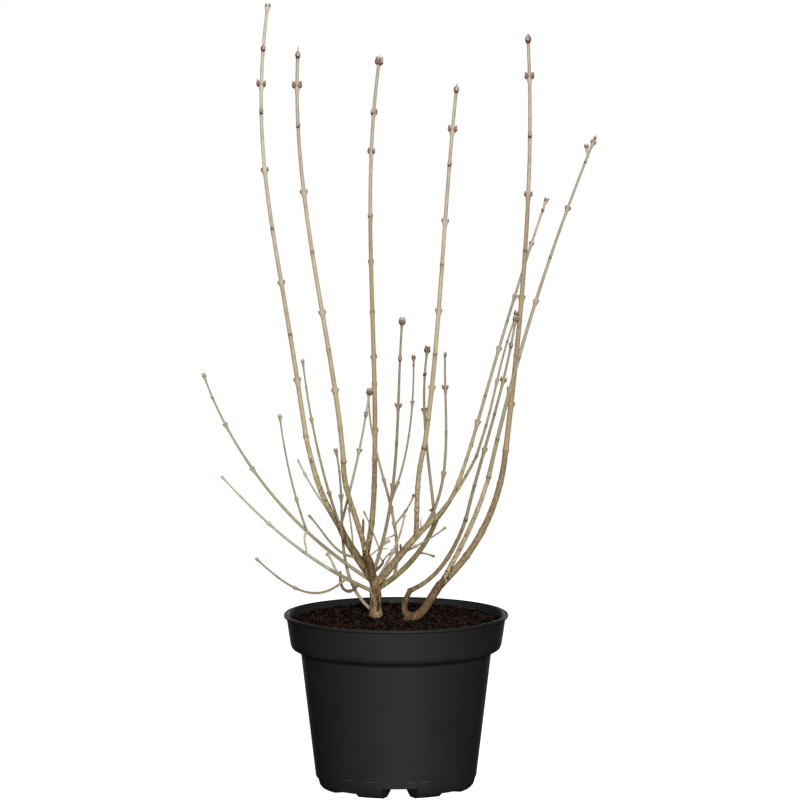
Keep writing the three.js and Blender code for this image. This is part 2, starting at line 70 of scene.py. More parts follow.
def rounded(corners):
    """The outline with each corner turned into a short arc of the given reach."""
    outline = []
    for i, (radius, height, rounding) in enumerate(corners):
        here = np.array((radius, height))
        if not rounding:
            outline.append(here)
            continue
        sides = [np.array(corners[k][:2]) - here for k in (i - 1, i + 1)]
        reach = min([rounding] + [ROUNDING["share"] * np.linalg.norm(side) for side in sides])
        start, stop = (here + unit(side) * reach for side in sides)
        for t in np.linspace(0, 1, ROUNDING["points"]):
            outline.append((1 - t) ** 2 * start + 2 * t * (1 - t) * here + t ** 2 * stop)
    return np.array(outline)


def level(turn):
    """Level ways of length 1 at angles from +X towards +Y."""
    return np.stack([np.cos(turn), np.sin(turn), np.zeros_like(turn)], -1)


def circle(sides):
    """Points evenly round a level circle of radius 1."""
    return level(np.arange(sides) * 2 * math.pi / sides)


def rings_of(halves, heights, sides):
    """Points round the upright axis, ring by ring: each ring has its radius and height."""
    rings = np.asarray(halves)[:, None, None] * circle(sides)
    rings[..., 2] = np.asarray(heights)[:, None]
    return rings.reshape(-1, 3)


def turned(outline, sides):
    """Points and faces of an outline turned round the upright axis, where both its ends lie."""
    rows = outline[1:-1]
    points = np.vstack([[(0, 0, outline[0][1])], rings_of(rows[:, 0], rows[:, 1], sides),
                        [(0, 0, outline[-1][1])]])
    last = len(points) - 1
    return points, (ringed_faces(len(rows), sides, 1)
                    + fan(0, range(sides, 0, -1)) + fan(last, range(last - sides, last)))


def fan(middle, rim):
    """Three-sided faces from a middle point to the points of a rim."""
    rim = list(rim)
    return [(middle, a, b) for a, b in zip(rim, rim[1:] + rim[:1])]


def ringed_faces(rows, sides, first=0):
    """The four-sided faces between rings of points that follow one another."""
    return [
        (first + i * sides + j, first + i * sides + (j + 1) % sides,
         first + (i + 1) * sides + (j + 1) % sides, first + (i + 1) * sides + j)
        for i in range(rows - 1) for j in range(sides)
    ]


def in_scene(name, data):
    """An object with this name and data, in the scene."""
    made = bpy.data.objects.new(name, data)
    bpy.context.scene.collection.objects.link(made)
    return made


def mesh_object(name, points, faces):
    """An object in the scene with a mesh of these points, in millimetres, and faces."""
    mesh = bpy.data.meshes.new(name)
    mesh.from_pydata((np.asarray(points, float) * MM).tolist(), [], faces)
    return in_scene(name, mesh)


def add_piece(name, points, faces, materials, slot, dealt=None, crease=None):
    """A piece of the plant or pot as one mesh. Dealt gives each face its material's place, and
    edges sharper than the crease, in degrees, stay sharp."""
    piece = mesh_object(name, points, faces)
    mesh = piece.data
    for material in materials:
        mesh.materials.append(material)
    if dealt is not None:
        mesh.polygons.foreach_set("material_index", np.asarray(dealt, np.int32))
    mesh.shade_smooth()
    if crease:
        mesh.set_sharp_from_angle(angle=math.radians(crease))
    mesh.update()
    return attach(piece, "root")


def linear(shade):
    """An sRGB hex colour as the linear colour that a shader takes."""
    parts = [int(shade[i:i + 2], 16) / 255 for i in (1, 3, 5)]
    return [c / 12.92 if c <= 0.04045 else ((c + 0.055) / 1.055) ** 2.4 for c in parts] + [1]


def new_material(name):
    """A named material with its shader and the piece's own coordinates to lay patterns by."""
    material = bpy.data.materials.new(name)
    material.use_nodes = True
    tree = material.node_tree
    place = tree.nodes.new("ShaderNodeTexCoord").outputs["Object"]
    return material, tree, tree.nodes["Principled BSDF"], place


def plug(node, sockets):
    """Gives each socket of a node its value, or links it to an output, or to a node's first."""
    for socket, value in sockets.items():
        if isinstance(value, bpy.types.Node):
            value = value.outputs[0]
        if isinstance(value, bpy.types.NodeSocket):
            node.id_data.links.new(value, node.inputs[socket])
        else:
            node.inputs[socket].default_value = value


def add(tree, kind, sockets, stops=(), **settings):
    """Adds a shader node with its settings, the values or links of its sockets, and stops."""
    made = tree.nodes.new("ShaderNode" + kind)
    for setting, value in settings.items():
        setattr(made, setting, value)
    plug(made, sockets)
    for i, (position, colour) in enumerate(stops):
        ramp = made.color_ramp.elements
        stop = ramp[i] if i < 2 else ramp.new(position)
        stop.position, stop.color = position, colour
    return made


def moulded_black_polypropylene(name, dark, light):
    """Satin black plastic with a fine spark-eroded grain: a soft wide highlight, no mirror."""
    material, tree, shader, place = new_material(name)
    # Faint cloudiness of handled plastic, 45 mm across.
    cloud = add(tree, "TexNoise", {"Vector": place, "Scale": 1 / (45 * MM), "Detail": 4})
    tone = add(tree, "ValToRGB", {"Fac": cloud}, stops=[(0.3, linear(dark)), (0.7, linear(light))])
    # Rubbed and dusty places, 14 mm across, differ in gloss.
    rub = add(tree, "TexNoise", {"Vector": place, "Scale": 1 / (14 * MM), "Detail": 6})
    gloss = add(tree, "MapRange", {"Value": rub, "From Min": 0.3, "From Max": 0.7,
                                   "To Min": 0.64, "To Max": 0.71})
    # The eroded grain is about 0.1 mm: it is drawn ten times as coarse, or it would not show.
    grain = add(tree, "TexNoise", {"Vector": place, "Scale": 1 / (1 * MM), "Detail": 2})
    bump = add(tree, "Bump", {"Height": grain, "Distance": 0.03 * MM, "Strength": 0.6})
    plug(shader, {"Base Color": tone, "Roughness": gloss, "Normal": bump, "IOR": 1.49,
                  "Specular IOR Level": 0.38})
    return material


def cutting_blocks():
    """The notches as blocks that narrow inwards, and the drainage holes as rods."""
    parts, sides = [], DRAIN_HOLES["sides"]
    for i in range(NOTCHES["count"]):
        turn = math.radians(NOTCHES["turn"] - 90) + 2 * math.pi * i / NOTCHES["count"]
        heights = (NOTCHES["below"], NOTCHES["heights"][i % 2])
        way, across = level(turn), level(turn + math.pi / 2)
        corners = [way * NOTCHES[reach] + (0, 0, heights[row]) + across * NOTCHES[width][row] * half
                   for reach, width in (("near", "inside"), ("far", "outside"))
                   for row in (0, 1) for half in (-0.5, 0.5)]
        parts.append((corners, [(0, 2, 3, 1), (4, 5, 7, 6), (0, 1, 5, 4), (2, 6, 7, 3),
                                (0, 4, 6, 2), (1, 3, 7, 5)]))
        rod = rings_of([DRAIN_HOLES["radius"]] * 2, DRAIN_HOLES["heights"], sides)
        rod += DRAIN_HOLES["circle"] * level(turn + math.pi / NOTCHES["count"])
        ends = [tuple(range(sides - 1, -1, -1)), tuple(range(sides, 2 * sides))]
        parts.append((rod, ringed_faces(2, sides) + ends))
    return one_mesh(parts)


def one_mesh(parts):
    """Several (points, faces) as one."""
    points, faces, first = [], [], 0
    for some_points, some_faces in parts:
        points.append(some_points)
        faces += [tuple(first + k for k in face) for face in some_faces]
        first += len(some_points)
    return np.vstack(points), faces


def cut_away(piece, points, faces):
    """Cuts a mesh of blocks out of the piece for good."""
    tool = mesh_object("cutting_tool", points, faces)
    cut = piece.modifiers.new("cut", "BOOLEAN")
    cut.operation, cut.solver, cut.object = "DIFFERENCE", "EXACT", tool
    keep_modifiers(piece)
    bpy.data.objects.remove(tool)


def keep_modifiers(piece):
    """Makes what the piece's modifiers do part of its mesh."""
    scene = bpy.context.evaluated_depsgraph_get()
    made = bpy.data.meshes.new_from_object(piece.evaluated_get(scene))
    piece.modifiers.clear()
    piece.data = made


black_plastic = moulded_black_polypropylene("moulded_black_polypropylene", "#191919", "#1d1d1d")
pot = add_piece("nursery_pot", *turned(rounded(POT_CORNERS), POT_SIDES), [black_plastic], "pot")
cut_away(pot, *cutting_blocks())
pot.data.set_sharp_from_angle(angle=math.radians(POT_CREASE))
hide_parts("pot")

# The thin ridge left where the mould's base met its wall, pale grey as a painted highlight: where it
# can be made out, in degrees round the pot, its radius and height there, and how far it stands out and
# sinks in.
RIDGE = {"spans": ((228, 242), (244, 260), (276, 284), (286, 298), (44, 71), (110, 133)),
         "step": 1.5, "height": 17.5, "radius": 83.1, "size": 0.3, "sunk": 0.4, "fade": 0.1}


def witness_line():
    """The ridge in short stretches that thin out at both ends."""
    parts = []
    for start, stop in RIDGE["spans"]:
        turn = np.radians(np.arange(start, stop, RIDGE["step"]))
        fading = np.linspace(RIDGE["fade"], math.pi - RIDGE["fade"], len(turn))
        size = RIDGE["size"] * np.sin(fading)[:, None]
        out, rise = level(turn), size * (0, 0, 1)
        line = out * RIDGE["radius"] + (0, 0, RIDGE["height"])
        corners = [line - out * RIDGE["sunk"] + rise, line + out * size,
                   line - out * RIDGE["sunk"] - rise]
        last = 3 * len(turn)
        faces = ringed_faces(len(turn), 3) + [(2, 1, 0), (last - 3, last - 2, last - 1)]
        parts.append((np.stack(corners, axis=1).reshape(-1, 3), faces))
    return one_mesh(parts)


# The ridge's pale grey is a painted highlight along the mould line, not a colour of the plastic.
ridge_painted_highlight = moulded_black_polypropylene("black_polypropylene_painted_highlight", "#4a4a4a", "#6c6c6b")
add_piece("mould_line", *witness_line(), [ridge_painted_highlight], "pot")


# ---- Potting mix ----
# Damp peat and bark fines that fill the pot to a finger's breadth under the rim. The surface is
# lumpy and uneven, with loose crumbs, bits of bark and coir fibres lying on it.

MIX_LEVEL = 170
MIX_RADIUS, MIX_EDGE = 108.3, 108.1  # of the surface, and where it has sunk most
MIX_FALL, MIX_RISE = 1.2, 3  # it has sunk at the wall, and rises towards the back
# The mix stands 0.3 mm clear of the pot's wall: the section below its surface.
MIX_SECTION = [(0, 12.5), (78.3, 12.5), (80.3, 14.5), (95.2, 141.7), (104.3, 144.4),
               (105.9, 147.7), (108, 163.5)]
MIX_RINGS, MIX_SIDES = 100, 400
MIX_SWELL = 1.8  # height of the four crossing waves left by levelling it by hand
MIX_LUMPS = [(24, 1.1), (8, 1.9), (3.4, 1.5), (1.7, 0.7)]  # width and height of each kind
LITTER_WITHIN, FIBRES_WITHIN = 106, 106.5  # radius that loose bits keep within
CRUMB = {"count": 5600, "least": 0.4, "most": 2.6, "flatness": 0.8}
BARK_BIT = {"count": 260, "least": 1.6, "most": 4.4, "flatness": 0.3}
# How far out a lump's corners lie at least and how much further at most, how wide it is and
# how far its middle stands out of the surface, as shares of its size, and its crease.
LUMP = {"least": 0.65, "more": 0.7, "width": 0.8, "raised": 0.12, "crease": 20}
# A fibre's length and thickness, the points along it, how it turns at each in radians, how high
# its middle arches at most, how it climbs from each to the next and how far above the surface
# it starts.
FIBRE = {"count": 1500, "least": 2.5, "most": 10, "thick": 0.4, "knots": 6, "bend": 0.35,
         "arch": 0.96, "tilt": 0.12, "raised": 0.5}

rng = np.random.default_rng(7)  # one source for all that is scattered at random


def mix_height(x, y):
    """Height of the mix at a place on its surface."""
    waves = np.sin(x / 9 + 1) + np.sin(y / 8) + np.sin((x - y) / 13) + np.sin((x + y) / 17)
    height = MIX_LEVEL + MIX_SWELL * waves / 4
    for size, rise in MIX_LUMPS:
        height += rise * noise.noise((x / size, y / size, size))
    height -= MIX_FALL * min(1, math.hypot(x, y) / MIX_EDGE) ** 8
    return height + MIX_RISE * (max(0, y) / MIX_EDGE) ** 2


def mix_surface():
    """The bed as a turned body whose top is raised into lumps."""
    top = [(MIX_RADIUS * (1 - i / MIX_RINGS), MIX_LEVEL) for i in range(MIX_RINGS + 1)]
    points, faces = turned(np.array(MIX_SECTION + top), MIX_SIDES)
    for point in points:
        if point[2] == MIX_LEVEL:
            point[2] = mix_height(point[0], point[1])
    return points, faces


def peat(name, dark, brown, pale):
    """Damp peat: near black and matt, with rusty and straw-coloured specks."""
    material, tree, shader, place = new_material(name)
    clump = add(tree, "TexNoise", {"Vector": place, "Scale": 1 / (6 * MM), "Detail": 8,
                                   "Roughness": 0.7})
    tone = add(tree, "ValToRGB", {"Fac": clump},
               stops=[(0.4, linear(dark)), (0.6, linear(brown)), (0.82, linear(pale))])
    # Peat crumbs are 1 to 2 mm; damp ones catch a little light.
    crumb = add(tree, "TexVoronoi", {"Vector": place, "Scale": 1 / (1.6 * MM)})
    bump = add(tree, "Bump", {"Height": crumb, "Distance": 0.5 * MM})
    plug(shader, {"Base Color": tone, "Normal": bump, "Roughness": 0.88,
                  "Specular IOR Level": 0.06})
    return material


def turned_at_random(count):
    """As many random rotations as asked for, as matrices."""
    q = rng.normal(size=(count, 4))
    w, x, y, z = (q / np.linalg.norm(q, axis=1)[:, None]).T
    return np.stack([
        1 - 2 * (y * y + z * z), 2 * (x * y - z * w), 2 * (x * z + y * w),
        2 * (x * y + z * w), 1 - 2 * (x * x + z * z), 2 * (y * z - x * w),
        2 * (x * z - y * w), 2 * (y * z + x * w), 1 - 2 * (x * x + y * y),
    ], axis=-1).reshape(count, 3, 3)


def spots_on_mix(count):
    """Random places on the surface, none against the pot's wall."""
    far = LITTER_WITHIN * np.sqrt(rng.random(count))
    turn = rng.random(count) * 2 * math.pi
    x, y = far * np.cos(turn), far * np.sin(turn)
    return np.stack([x, y, [mix_height(a, b) for a, b in zip(x, y)]], axis=-1)


def lumps(kind):
    """Angular lumps of many sizes, sunk a little in the surface, as one mesh."""
    g = (1 + math.sqrt(5)) / 2
    corners = np.array([(-1, g, 0), (1, g, 0), (-1, -g, 0), (1, -g, 0), (0, -1, g), (0, 1, g),
                        (0, -1, -g), (0, 1, -g), (g, 0, -1), (g, 0, 1), (-g, 0, -1), (-g, 0, 1)])
    sides = [(0, 11, 5), (0, 5, 1), (0, 1, 7), (0, 7, 10), (0, 10, 11), (1, 5, 9), (5, 11, 4),
             (11, 10, 2), (10, 7, 6), (7, 1, 8), (3, 9, 4), (3, 4, 2), (3, 2, 6), (3, 6, 8),
             (3, 8, 9), (4, 9, 5), (2, 4, 11), (6, 2, 10), (8, 6, 7), (9, 8, 1)]
    count = kind["count"]
    size = kind["least"] + (kind["most"] - kind["least"]) * rng.random(count) ** 3
    uneven = LUMP["least"] + LUMP["more"] * rng.random((count, len(corners), 1))
    shape = corners / math.hypot(1, g) / 2 * uneven
    shape = shape * (1, LUMP["width"], kind["flatness"]) * size[:, None, None]
    shape = np.einsum("nij,nkj->nki", turned_at_random(count), shape)
    spots = spots_on_mix(count)
    spots[:, 2] += LUMP["raised"] * size
    return one_mesh(zip(shape + spots[:, None], [sides] * count))


def fibres(kind):
    """Bent three-sided threads that lie on the surface, a few ends standing up."""
    count, knots = kind["count"], kind["knots"]
    length = kind["least"] + (kind["most"] - kind["least"]) * rng.random(count) ** 2
    turn = rng.random(count) * 2 * math.pi
    bend = rng.normal(0, kind["bend"], (count, knots))
    way = turn[:, None] + np.cumsum(bend, axis=1)
    rise = np.sin(np.linspace(0, math.pi, knots)) * rng.random((count, 1)) * kind["arch"]
    rise = rise + rng.normal(0, kind["tilt"], (count, 1)) * np.arange(knots)
    step = (length / knots)[:, None]
    x, y = np.cumsum(np.cos(way) * step, axis=1), np.cumsum(np.sin(way) * step, axis=1)
    line = np.stack([x, y, rise], -1)
    line += (spots_on_mix(count) + (0, 0, kind["raised"]))[:, None]
    over = np.maximum(1, np.hypot(line[..., 0], line[..., 1]) / FIBRES_WITHIN)
    line[..., :2] /= over[..., None]
    across = np.stack([-np.sin(way), np.cos(way), np.zeros_like(way)], -1)
    up = np.array((0, 0, 1.0))
    thick = kind["thick"] / 2 * np.sin(np.linspace(0.5, math.pi - 0.5, knots))
    rims = [line + thick[:, None] * (across * math.cos(a) + up * math.sin(a))
            for a in (math.pi / 2, math.pi * 7 / 6, math.pi * 11 / 6)]
    return one_mesh(zip(np.stack(rims, axis=2).reshape(count, -1, 3),
                        [ringed_faces(knots, 3)] * count))


damp_peat = peat("damp_peat", "#090504", "#170d0a", "#271a16")
rusty_peat = peat("rusty_peat", "#100807", "#20130f", "#382720")
pale_bark_bits = peat("pale_bark_bits", "#2c1d15", "#4a3326", "#75594a")
coir = peat("coir_fibre", "#3d2a20", "#5f4636", "#8a6d57")

bed = add_piece("potting_mix_bed", *mix_surface(), [damp_peat], "potting_mix")
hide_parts("potting_mix")
crumbs = lumps(CRUMB)
# Three crumbs in ten are rusty.
crumb_kinds = rng.choice(2, CRUMB["count"], p=[0.7, 0.3])
add_piece("peat_crumbs", *crumbs, [damp_peat, rusty_peat], "potting_mix",
          dealt=np.repeat(crumb_kinds, len(crumbs[1]) // CRUMB["count"]), crease=LUMP["crease"])
add_piece("bark_bits", *lumps(BARK_BIT), [pale_bark_bits], "potting_mix", crease=LUMP["crease"])
add_piece("coir_fibres", *fibres(FIBRE), [coir], "potting_mix")


# ---- Old wood: trunk, boughs, stems and canes ----
# The wood of earlier summers: a short ribbed trunk that forks at once, a smooth side stem bent
# round at its foot, and the canes that rise from them. The bark is thin, ribbed along the
# trunk, with a slight ring where each year's buds stood. All of it is one grown body.


def stem(start, leave, tip, end, thick, facing=0, **more):
    """A limb's values by name. It starts at a place in the mix, or on a parent at a share of
    its length, leaves it one way and turns evenly until it ends at its tip another way. Ways
    are a lean from upright and a bearing from +X towards +Y. Thick: diameter at both ends.
    Facing: which way the pair of buds at the tip looks, 0 left and right, 90 front and back."""
    return {"start": start, "leave": leave, "tip": tip, "end": end, "thick": thick,
            "facing": facing, **more}


# Knots: rings of old buds, in mm from the foot. Ribs: how many run round a limb, how deep they
# are and how fast they wind, in degrees per mm. Flare: how much wider the foot is.
OLD_WOOD = {
    "trunk": stem(
        (-20.6, 28, 166), (3, 180), (-21.6, 26, 205), (3, 180), (12.6, 11.4), flare=1.8,
        ribs=(5, 0.85, 2.2), bark="brown"),
    "left_bough": stem(
        ("trunk", 1), (32, 175), (-58, 30, 264), (23, 173), (9, 7), ribs=(4, 0.5, 1), bark="brown"),
    "right_bough": stem(
        ("trunk", 0.94), (44, 328), (41.5, -10, 278.5), (51, 339), (8.4, 5.2), ribs=(4, 0.45, 1),
        bark="pale"),
    "middle_bough": stem(
        ("trunk", 1), (28, 215), (-31, 14, 235), (42, 202), (8.4, 7.6), ribs=(4, 0.5, 1), bark="dark"),
    "low_right_bough": stem(
        ("trunk", 0.84), (63, 8), (42.5, 52, 270), (26, 40), (5.9, 4.8), bark="green"),
    "side_stem": stem(
        (10, 2, 175), (111, 0), (45, 16, 205), (38, 8), (8.8, 8.6), flare=1.2, ribs=(3, 0.28, 0.5),
        bark="dark"),
    "hooked_stem": stem(
        ("side_stem", 0.03), (40, 180), (14, -2, 201.5), (25, 0), (6.2, 5.2), ribs=(3, 0.22, 0.5),
        bark="dark"),
    "far_left_cane": stem(
        ("left_bough", 1), (37, 171), (-92.5, 45, 354), (17, 139), (6, 4.9), knots=(23, 55),
        bark="straw"),
    "left_cane": stem(
        ("middle_bough", 1), (28, 258), (-53, -38, 339), (22, 275), (5.6, 5.1), knots=(35, 59, 88),
        bark="tan"),
    "middle_cane": stem(
        ("middle_bough", 1), (34, 66), (-22, 60, 329), (19, 88), (6.2, 5), knots=(37, 76), bark="cane"),
    "right_cane": stem(
        ("right_bough", 0.7), (31, 273), (28.5, -60, 356), (30, 297), (5.2, 4.9), knots=(36, 65, 90),
        bark="straw"),
    "slim_right_cane": stem(
        ("right_bough", 1), (41, 334), (81.5, -32, 344), (27, 334), (4.2, 2.8), knots=(40,), bark="tan"),
    "back_right_cane": stem(
        ("low_right_bough", 1), (48, 22), (77.5, 80, 341), (26, 41), (4.7, 3.5), knots=(45,),
        bark="straw"),
    "side_cane": stem(
        ("side_stem", 1), (49, 8), (112.5, 45, 340), (12, 64), (7.2, 5.7), knots=(40, 70, 122),
        bark="cane"),
    "outer_right_cane": stem(
        ("side_stem", 1), (31, 338), (94, -20, 321), (22, 311), (5.3, 4.3), knots=(48, 92), bark="straw"),
    "front_right_cane": stem(
        ("hooked_stem", 1), (66, 341), (70.5, -40, 280), (27, 311), (4.7, 3.8), knots=(58,), bark="cane"),
}
PLAIN_RIBS = (3, 0.16, 0.3)  # of a limb without ribs of its own
SINK = 1.5  # a limb's foot starts this far back inside its parent
# A limb's skin: mm between its rings of points, points in one, and how far past the tip.
WOOD_STEP, WOOD_SIDES, WOOD_PAST = 1.5, 24, 0.8
COLLAR = {"swell": 0.24, "fade": 5}  # a limb is thicker where it leaves its parent
FLARE_FADE = 7  # a flared foot narrows over about this length
KNOT = {"swell": 0.16, "reach": 2.2}
MELT = {"fineness": 0.55, "soften": 0.5, "times": 5}  # the skins melt into one body
# Ribs are broad and the grooves between them narrow. How the ribs wander, and the wrinkles
# between them, which deepen with the ribs.
RIB_BREADTH, RIB_SUNK = 0.7, 0.6
WANDER = {"by": 1.1, "over": 11}
WRINKLE = {"across": 1.7, "along": 6, "depth": 0.1, "with_ribs": 0.22}
# A hollow low on the right of the trunk: its middle, how far it reaches, how deep it is,
# and how near its middle the bark is painted dark as shade, where 1 is the middle itself.
HOLLOW = {"middle": (-16.5, 22.5, 181), "reach": (3.4, 4, 5), "depth": 2.2, "hollow_painted_shade": 0.45}

FRONT = np.array((0.0, -1, 0))  # the way that the bush faces
CURVE_POINTS = 401  # a limb's length is measured over these


def heading(lean, bearing):
    """The way of a lean and a bearing."""
    lean, bearing = math.radians(lean), math.radians(bearing)
    out = math.sin(lean)
    return np.array((out * math.cos(bearing), out * math.sin(bearing), math.cos(lean)))


def even_turn(foot, leave, tip, end, sway=0):
    """The cubic that turns evenly, as points with their distances from the foot. Sway carries
    it first to one side and then to the other."""
    turn = math.acos(np.clip(leave @ end, -1, 1))
    handle = np.linalg.norm(tip - foot) / (3 * math.cos(turn / 4) ** 2)
    t = np.linspace(0, 1, CURVE_POINTS)[:, None]
    line = ((1 - t) ** 3 * foot + 3 * (1 - t) ** 2 * t * (foot + handle * leave)
            + 3 * (1 - t) * t ** 2 * (tip - handle * end) + t ** 3 * tip)
    across = np.cross((0, 1, 0), tip - foot)
    line += sway * np.sin(2 * math.pi * t) * across / np.linalg.norm(across)
    steps = np.linalg.norm(np.diff(line, axis=0), axis=1)
    return line, np.concatenate([[0], np.cumsum(steps)])


def places(curve, at):
    """Centre, way along and the two ways across at distances from the foot. Past either end
    the limb runs on straight."""
    line, reach = curve
    at = np.atleast_1d(np.asarray(at, float))
    inside = np.clip(at, 0, reach[-1])
    tangents = np.gradient(line, axis=0)
    along = np.stack([np.interp(inside, reach, tangents[:, k]) for k in range(3)], -1)
    along /= np.linalg.norm(along, axis=1)[:, None]
    centre = np.stack([np.interp(inside, reach, line[:, k]) for k in range(3)], -1)
    centre += along * (at - inside)[:, None]
    front = FRONT - along * (along @ FRONT)[:, None]
    front /= np.linalg.norm(front, axis=1)[:, None]
    return centre, along, np.cross(front, along), front


curves = {}  # every limb's curve, by name, for the limbs that spring from it


def curve_of(limb, parent=None):
    """A limb's curve. Beside its parent's curve, its start is the share of that."""
    start = limb["start"]
    if parent is None and start[0] in curves:
        parent, start = curves[start[0]], start[1]
    foot = places(parent, start * parent[1][-1])[0][0] if parent else np.array(start, float)
    tip = np.array(limb["tip"], float)
    return even_turn(foot, heading(*limb["leave"]), tip, heading(*limb["end"]),
                     limb.get("sway", 0))


def radius_at(limb, share):
    """A limb's radius at a share of its length, and past its ends as it is there."""
    share = np.clip(share, 0, 1)
    return ((1 - share) * limb["thick"][0] + share * limb["thick"][1]) / 2


def skin(curve, at, radii, sides):
    """A closed tube along a curve. Radii gives a radius for each ring, or for each point."""
    centre, _, side, front = places(curve, at)
    turn = np.arange(sides) * 2 * math.pi / sides
    radii = np.broadcast_to(np.asarray(radii, float).reshape(len(at), -1), (len(at), sides))
    spoke = (side[:, None] * np.cos(turn)[:, None] + front[:, None] * np.sin(turn)[:, None])
    rings = (centre[:, None] + spoke * radii[..., None]).reshape(-1, 3)
    points = np.vstack([rings, centre[:1], centre[-1:]])
    foot, tip = len(rings), len(rings) + 1
    return points, (ringed_faces(len(at), sides) + fan(foot, range(sides - 1, -1, -1))
                    + fan(tip, range(foot - sides, foot)))


def wood_skin(limb, curve):
    """A limb of old wood with its collar, flare and knots."""
    length = curve[1][-1]
    at = np.arange(-SINK, length + WOOD_PAST, WOOD_STEP)
    past = np.maximum(at, 0)
    radius = radius_at(limb, at / length)
    if limb["start"][0] in OLD_WOOD:
        radius = radius * (1 + COLLAR["swell"] * np.exp(-past / COLLAR["fade"]))
    radius = radius + limb.get("flare", 0) * np.exp(-past / FLARE_FADE)
    for knot in limb.get("knots", ()):
        radius = radius * (1 + KNOT["swell"] * np.exp(-((at - knot) / KNOT["reach"]) ** 2))
    return skin(curve, at, radius, WOOD_SIDES)


def melted(parts):
    """The skins grown into one body: points, their outward ways and faces."""
    wood = mesh_object("wood_skins", *one_mesh(parts))
    melt = wood.modifiers.new("melt", "REMESH")
    melt.mode, melt.voxel_size = "VOXEL", MELT["fineness"] * MM
    soften = wood.modifiers.new("soften", "SMOOTH")
    soften.factor, soften.iterations = MELT["soften"], MELT["times"]
    keep_modifiers(wood)
    points, outward = np.zeros((2, len(wood.data.vertices) * 3))
    wood.data.vertices.foreach_get("co", points)
    wood.data.vertices.foreach_get("normal", outward)
    faces = [tuple(face.vertices) for face in wood.data.polygons]
    bpy.data.objects.remove(wood)
    return points.reshape(-1, 3) / MM, outward.reshape(-1, 3), faces


def in_hollow(point):
    """1 in the middle of the trunk's hollow, fading to 0 round it."""
    off = (np.array(point) - HOLLOW["middle"]) / HOLLOW["reach"]
    return math.exp(-(off @ off))


def bark_relief(points, outward):
    """The points moved into the bark's ribs and wrinkles, the limb that each belongs to and
    how far along it lies."""
    stations = []
    for name in OLD_WOOD:
        at = np.arange(0, curves[name][1][-1], 1.0)
        centre, _, side, front = places(curves[name], at)
        stations += [(name, *each) for each in zip(centre, at, side, front)]
    finder = kdtree.KDTree(len(stations))
    for k, station in enumerate(stations):
        finder.insert(station[1], k)
    finder.balance()
    owners, ats, rises = [], [], []
    for point in points:
        name, centre, at, side, front = stations[finder.find(point)[1]]
        owners.append(name)
        ats.append(at)
        count, depth, wind = OLD_WOOD[name].get("ribs", PLAIN_RIBS)
        spoke = point - centre
        turn = math.atan2(spoke @ front, spoke @ side) + math.radians(wind * at)
        limb_place = (turn, at / WANDER["over"], list(OLD_WOOD).index(name))
        wander = WANDER["by"] * noise.noise(limb_place)
        rib = abs(math.sin(count / 2 * turn + wander)) ** RIB_BREADTH - RIB_SUNK
        x, y, z = point
        grain_place = (x / WRINKLE["across"], y / WRINKLE["across"], z / WRINKLE["along"])
        wrinkle = noise.fractal(grain_place, 1, 2, 3)
        rises.append(depth * rib + (WRINKLE["depth"] + WRINKLE["with_ribs"] * depth) * wrinkle
                     - HOLLOW["depth"] * in_hollow(point))
    return points + outward * np.array(rises)[:, None], owners, ats


def part_of(points, faces, chosen):
    """The faces whose limbs are chosen, with the points they use."""
    kept = [face for face in faces if chosen[face[0]]]
    used = np.unique([k for face in kept for k in face])
    new_place = np.full(len(points), -1)
    new_place[used] = np.arange(len(used))
    return points[used], [tuple(int(new_place[k]) for k in face) for face in kept]


def shaded(shade, factor):
    """An sRGB hex colour as a linear one, made lighter or darker by a factor."""
    return [c * factor for c in linear(shade)[:3]] + [1]


def tinged(tree, place, tone, tinge, across, full, most):
    """A tone under a tinge of another colour in patches so many mm across. The tinge is at its
    most where the patches' pattern is at full."""
    patches = add(tree, "TexNoise", {"Vector": place, "Scale": 1 / (across * MM), "Detail": 3})
    where = add(tree, "MapRange", {"Value": patches, "From Min": 0.5, "From Max": full,
                                   "To Max": most})
    return add(tree, "Mix", {0: where, 6: tone, 7: linear(tinge)}, data_type="RGBA").outputs[2]


def lilac_bark(name, plain, green, uneven):
    """Thin dry bark of grown lilac wood, matt, with pale cork streaks and a green algae tinge."""
    material, tree, shader, place = new_material(name)
    dark, pale = shaded(plain, 1 - 1.3 * uneven), shaded(plain, 1 + 1.5 * uneven)
    # Streaks run up the limb: the pattern is drawn out along Z.
    drawn_out = add(tree, "Mapping", {"Vector": place, "Scale": (1, 1, 0.22)})
    streaks = add(tree, "TexNoise", {"Vector": drawn_out, "Scale": 1 / (2.2 * MM), "Detail": 5,
                                     "Roughness": 0.6})
    tone = add(tree, "ValToRGB", {"Fac": streaks},
               stops=[(0.36, dark), (0.5, linear(plain)), (0.65, pale)])
    # The algae lie in patches about 16 mm across.
    algae = tinged(tree, place, tone, green, 16, 0.68, 0.5)
    # Cork pores are 0.3 mm: they are drawn twice as coarse, or they would not show.
    pores = add(tree, "TexVoronoi", {"Vector": drawn_out, "Scale": 1 / (0.7 * MM)})
    both = add(tree, "Math", {0: streaks, 1: pores}, operation="ADD")
    bump = add(tree, "Bump", {"Height": both, "Distance": 0.22 * MM, "Strength": 0.7})
    plug(shader, {"Base Color": algae, "Normal": bump, "Roughness": 0.82,
                  "Specular IOR Level": 0.3})
    return material


for name, limb in OLD_WOOD.items():
    curves[name] = curve_of(limb)
wood_points, wood_outward, wood_faces = melted(
    [wood_skin(limb, curves[name]) for name, limb in OLD_WOOD.items()])
wood_points, wood_owners, wood_ats = bark_relief(wood_points, wood_outward)
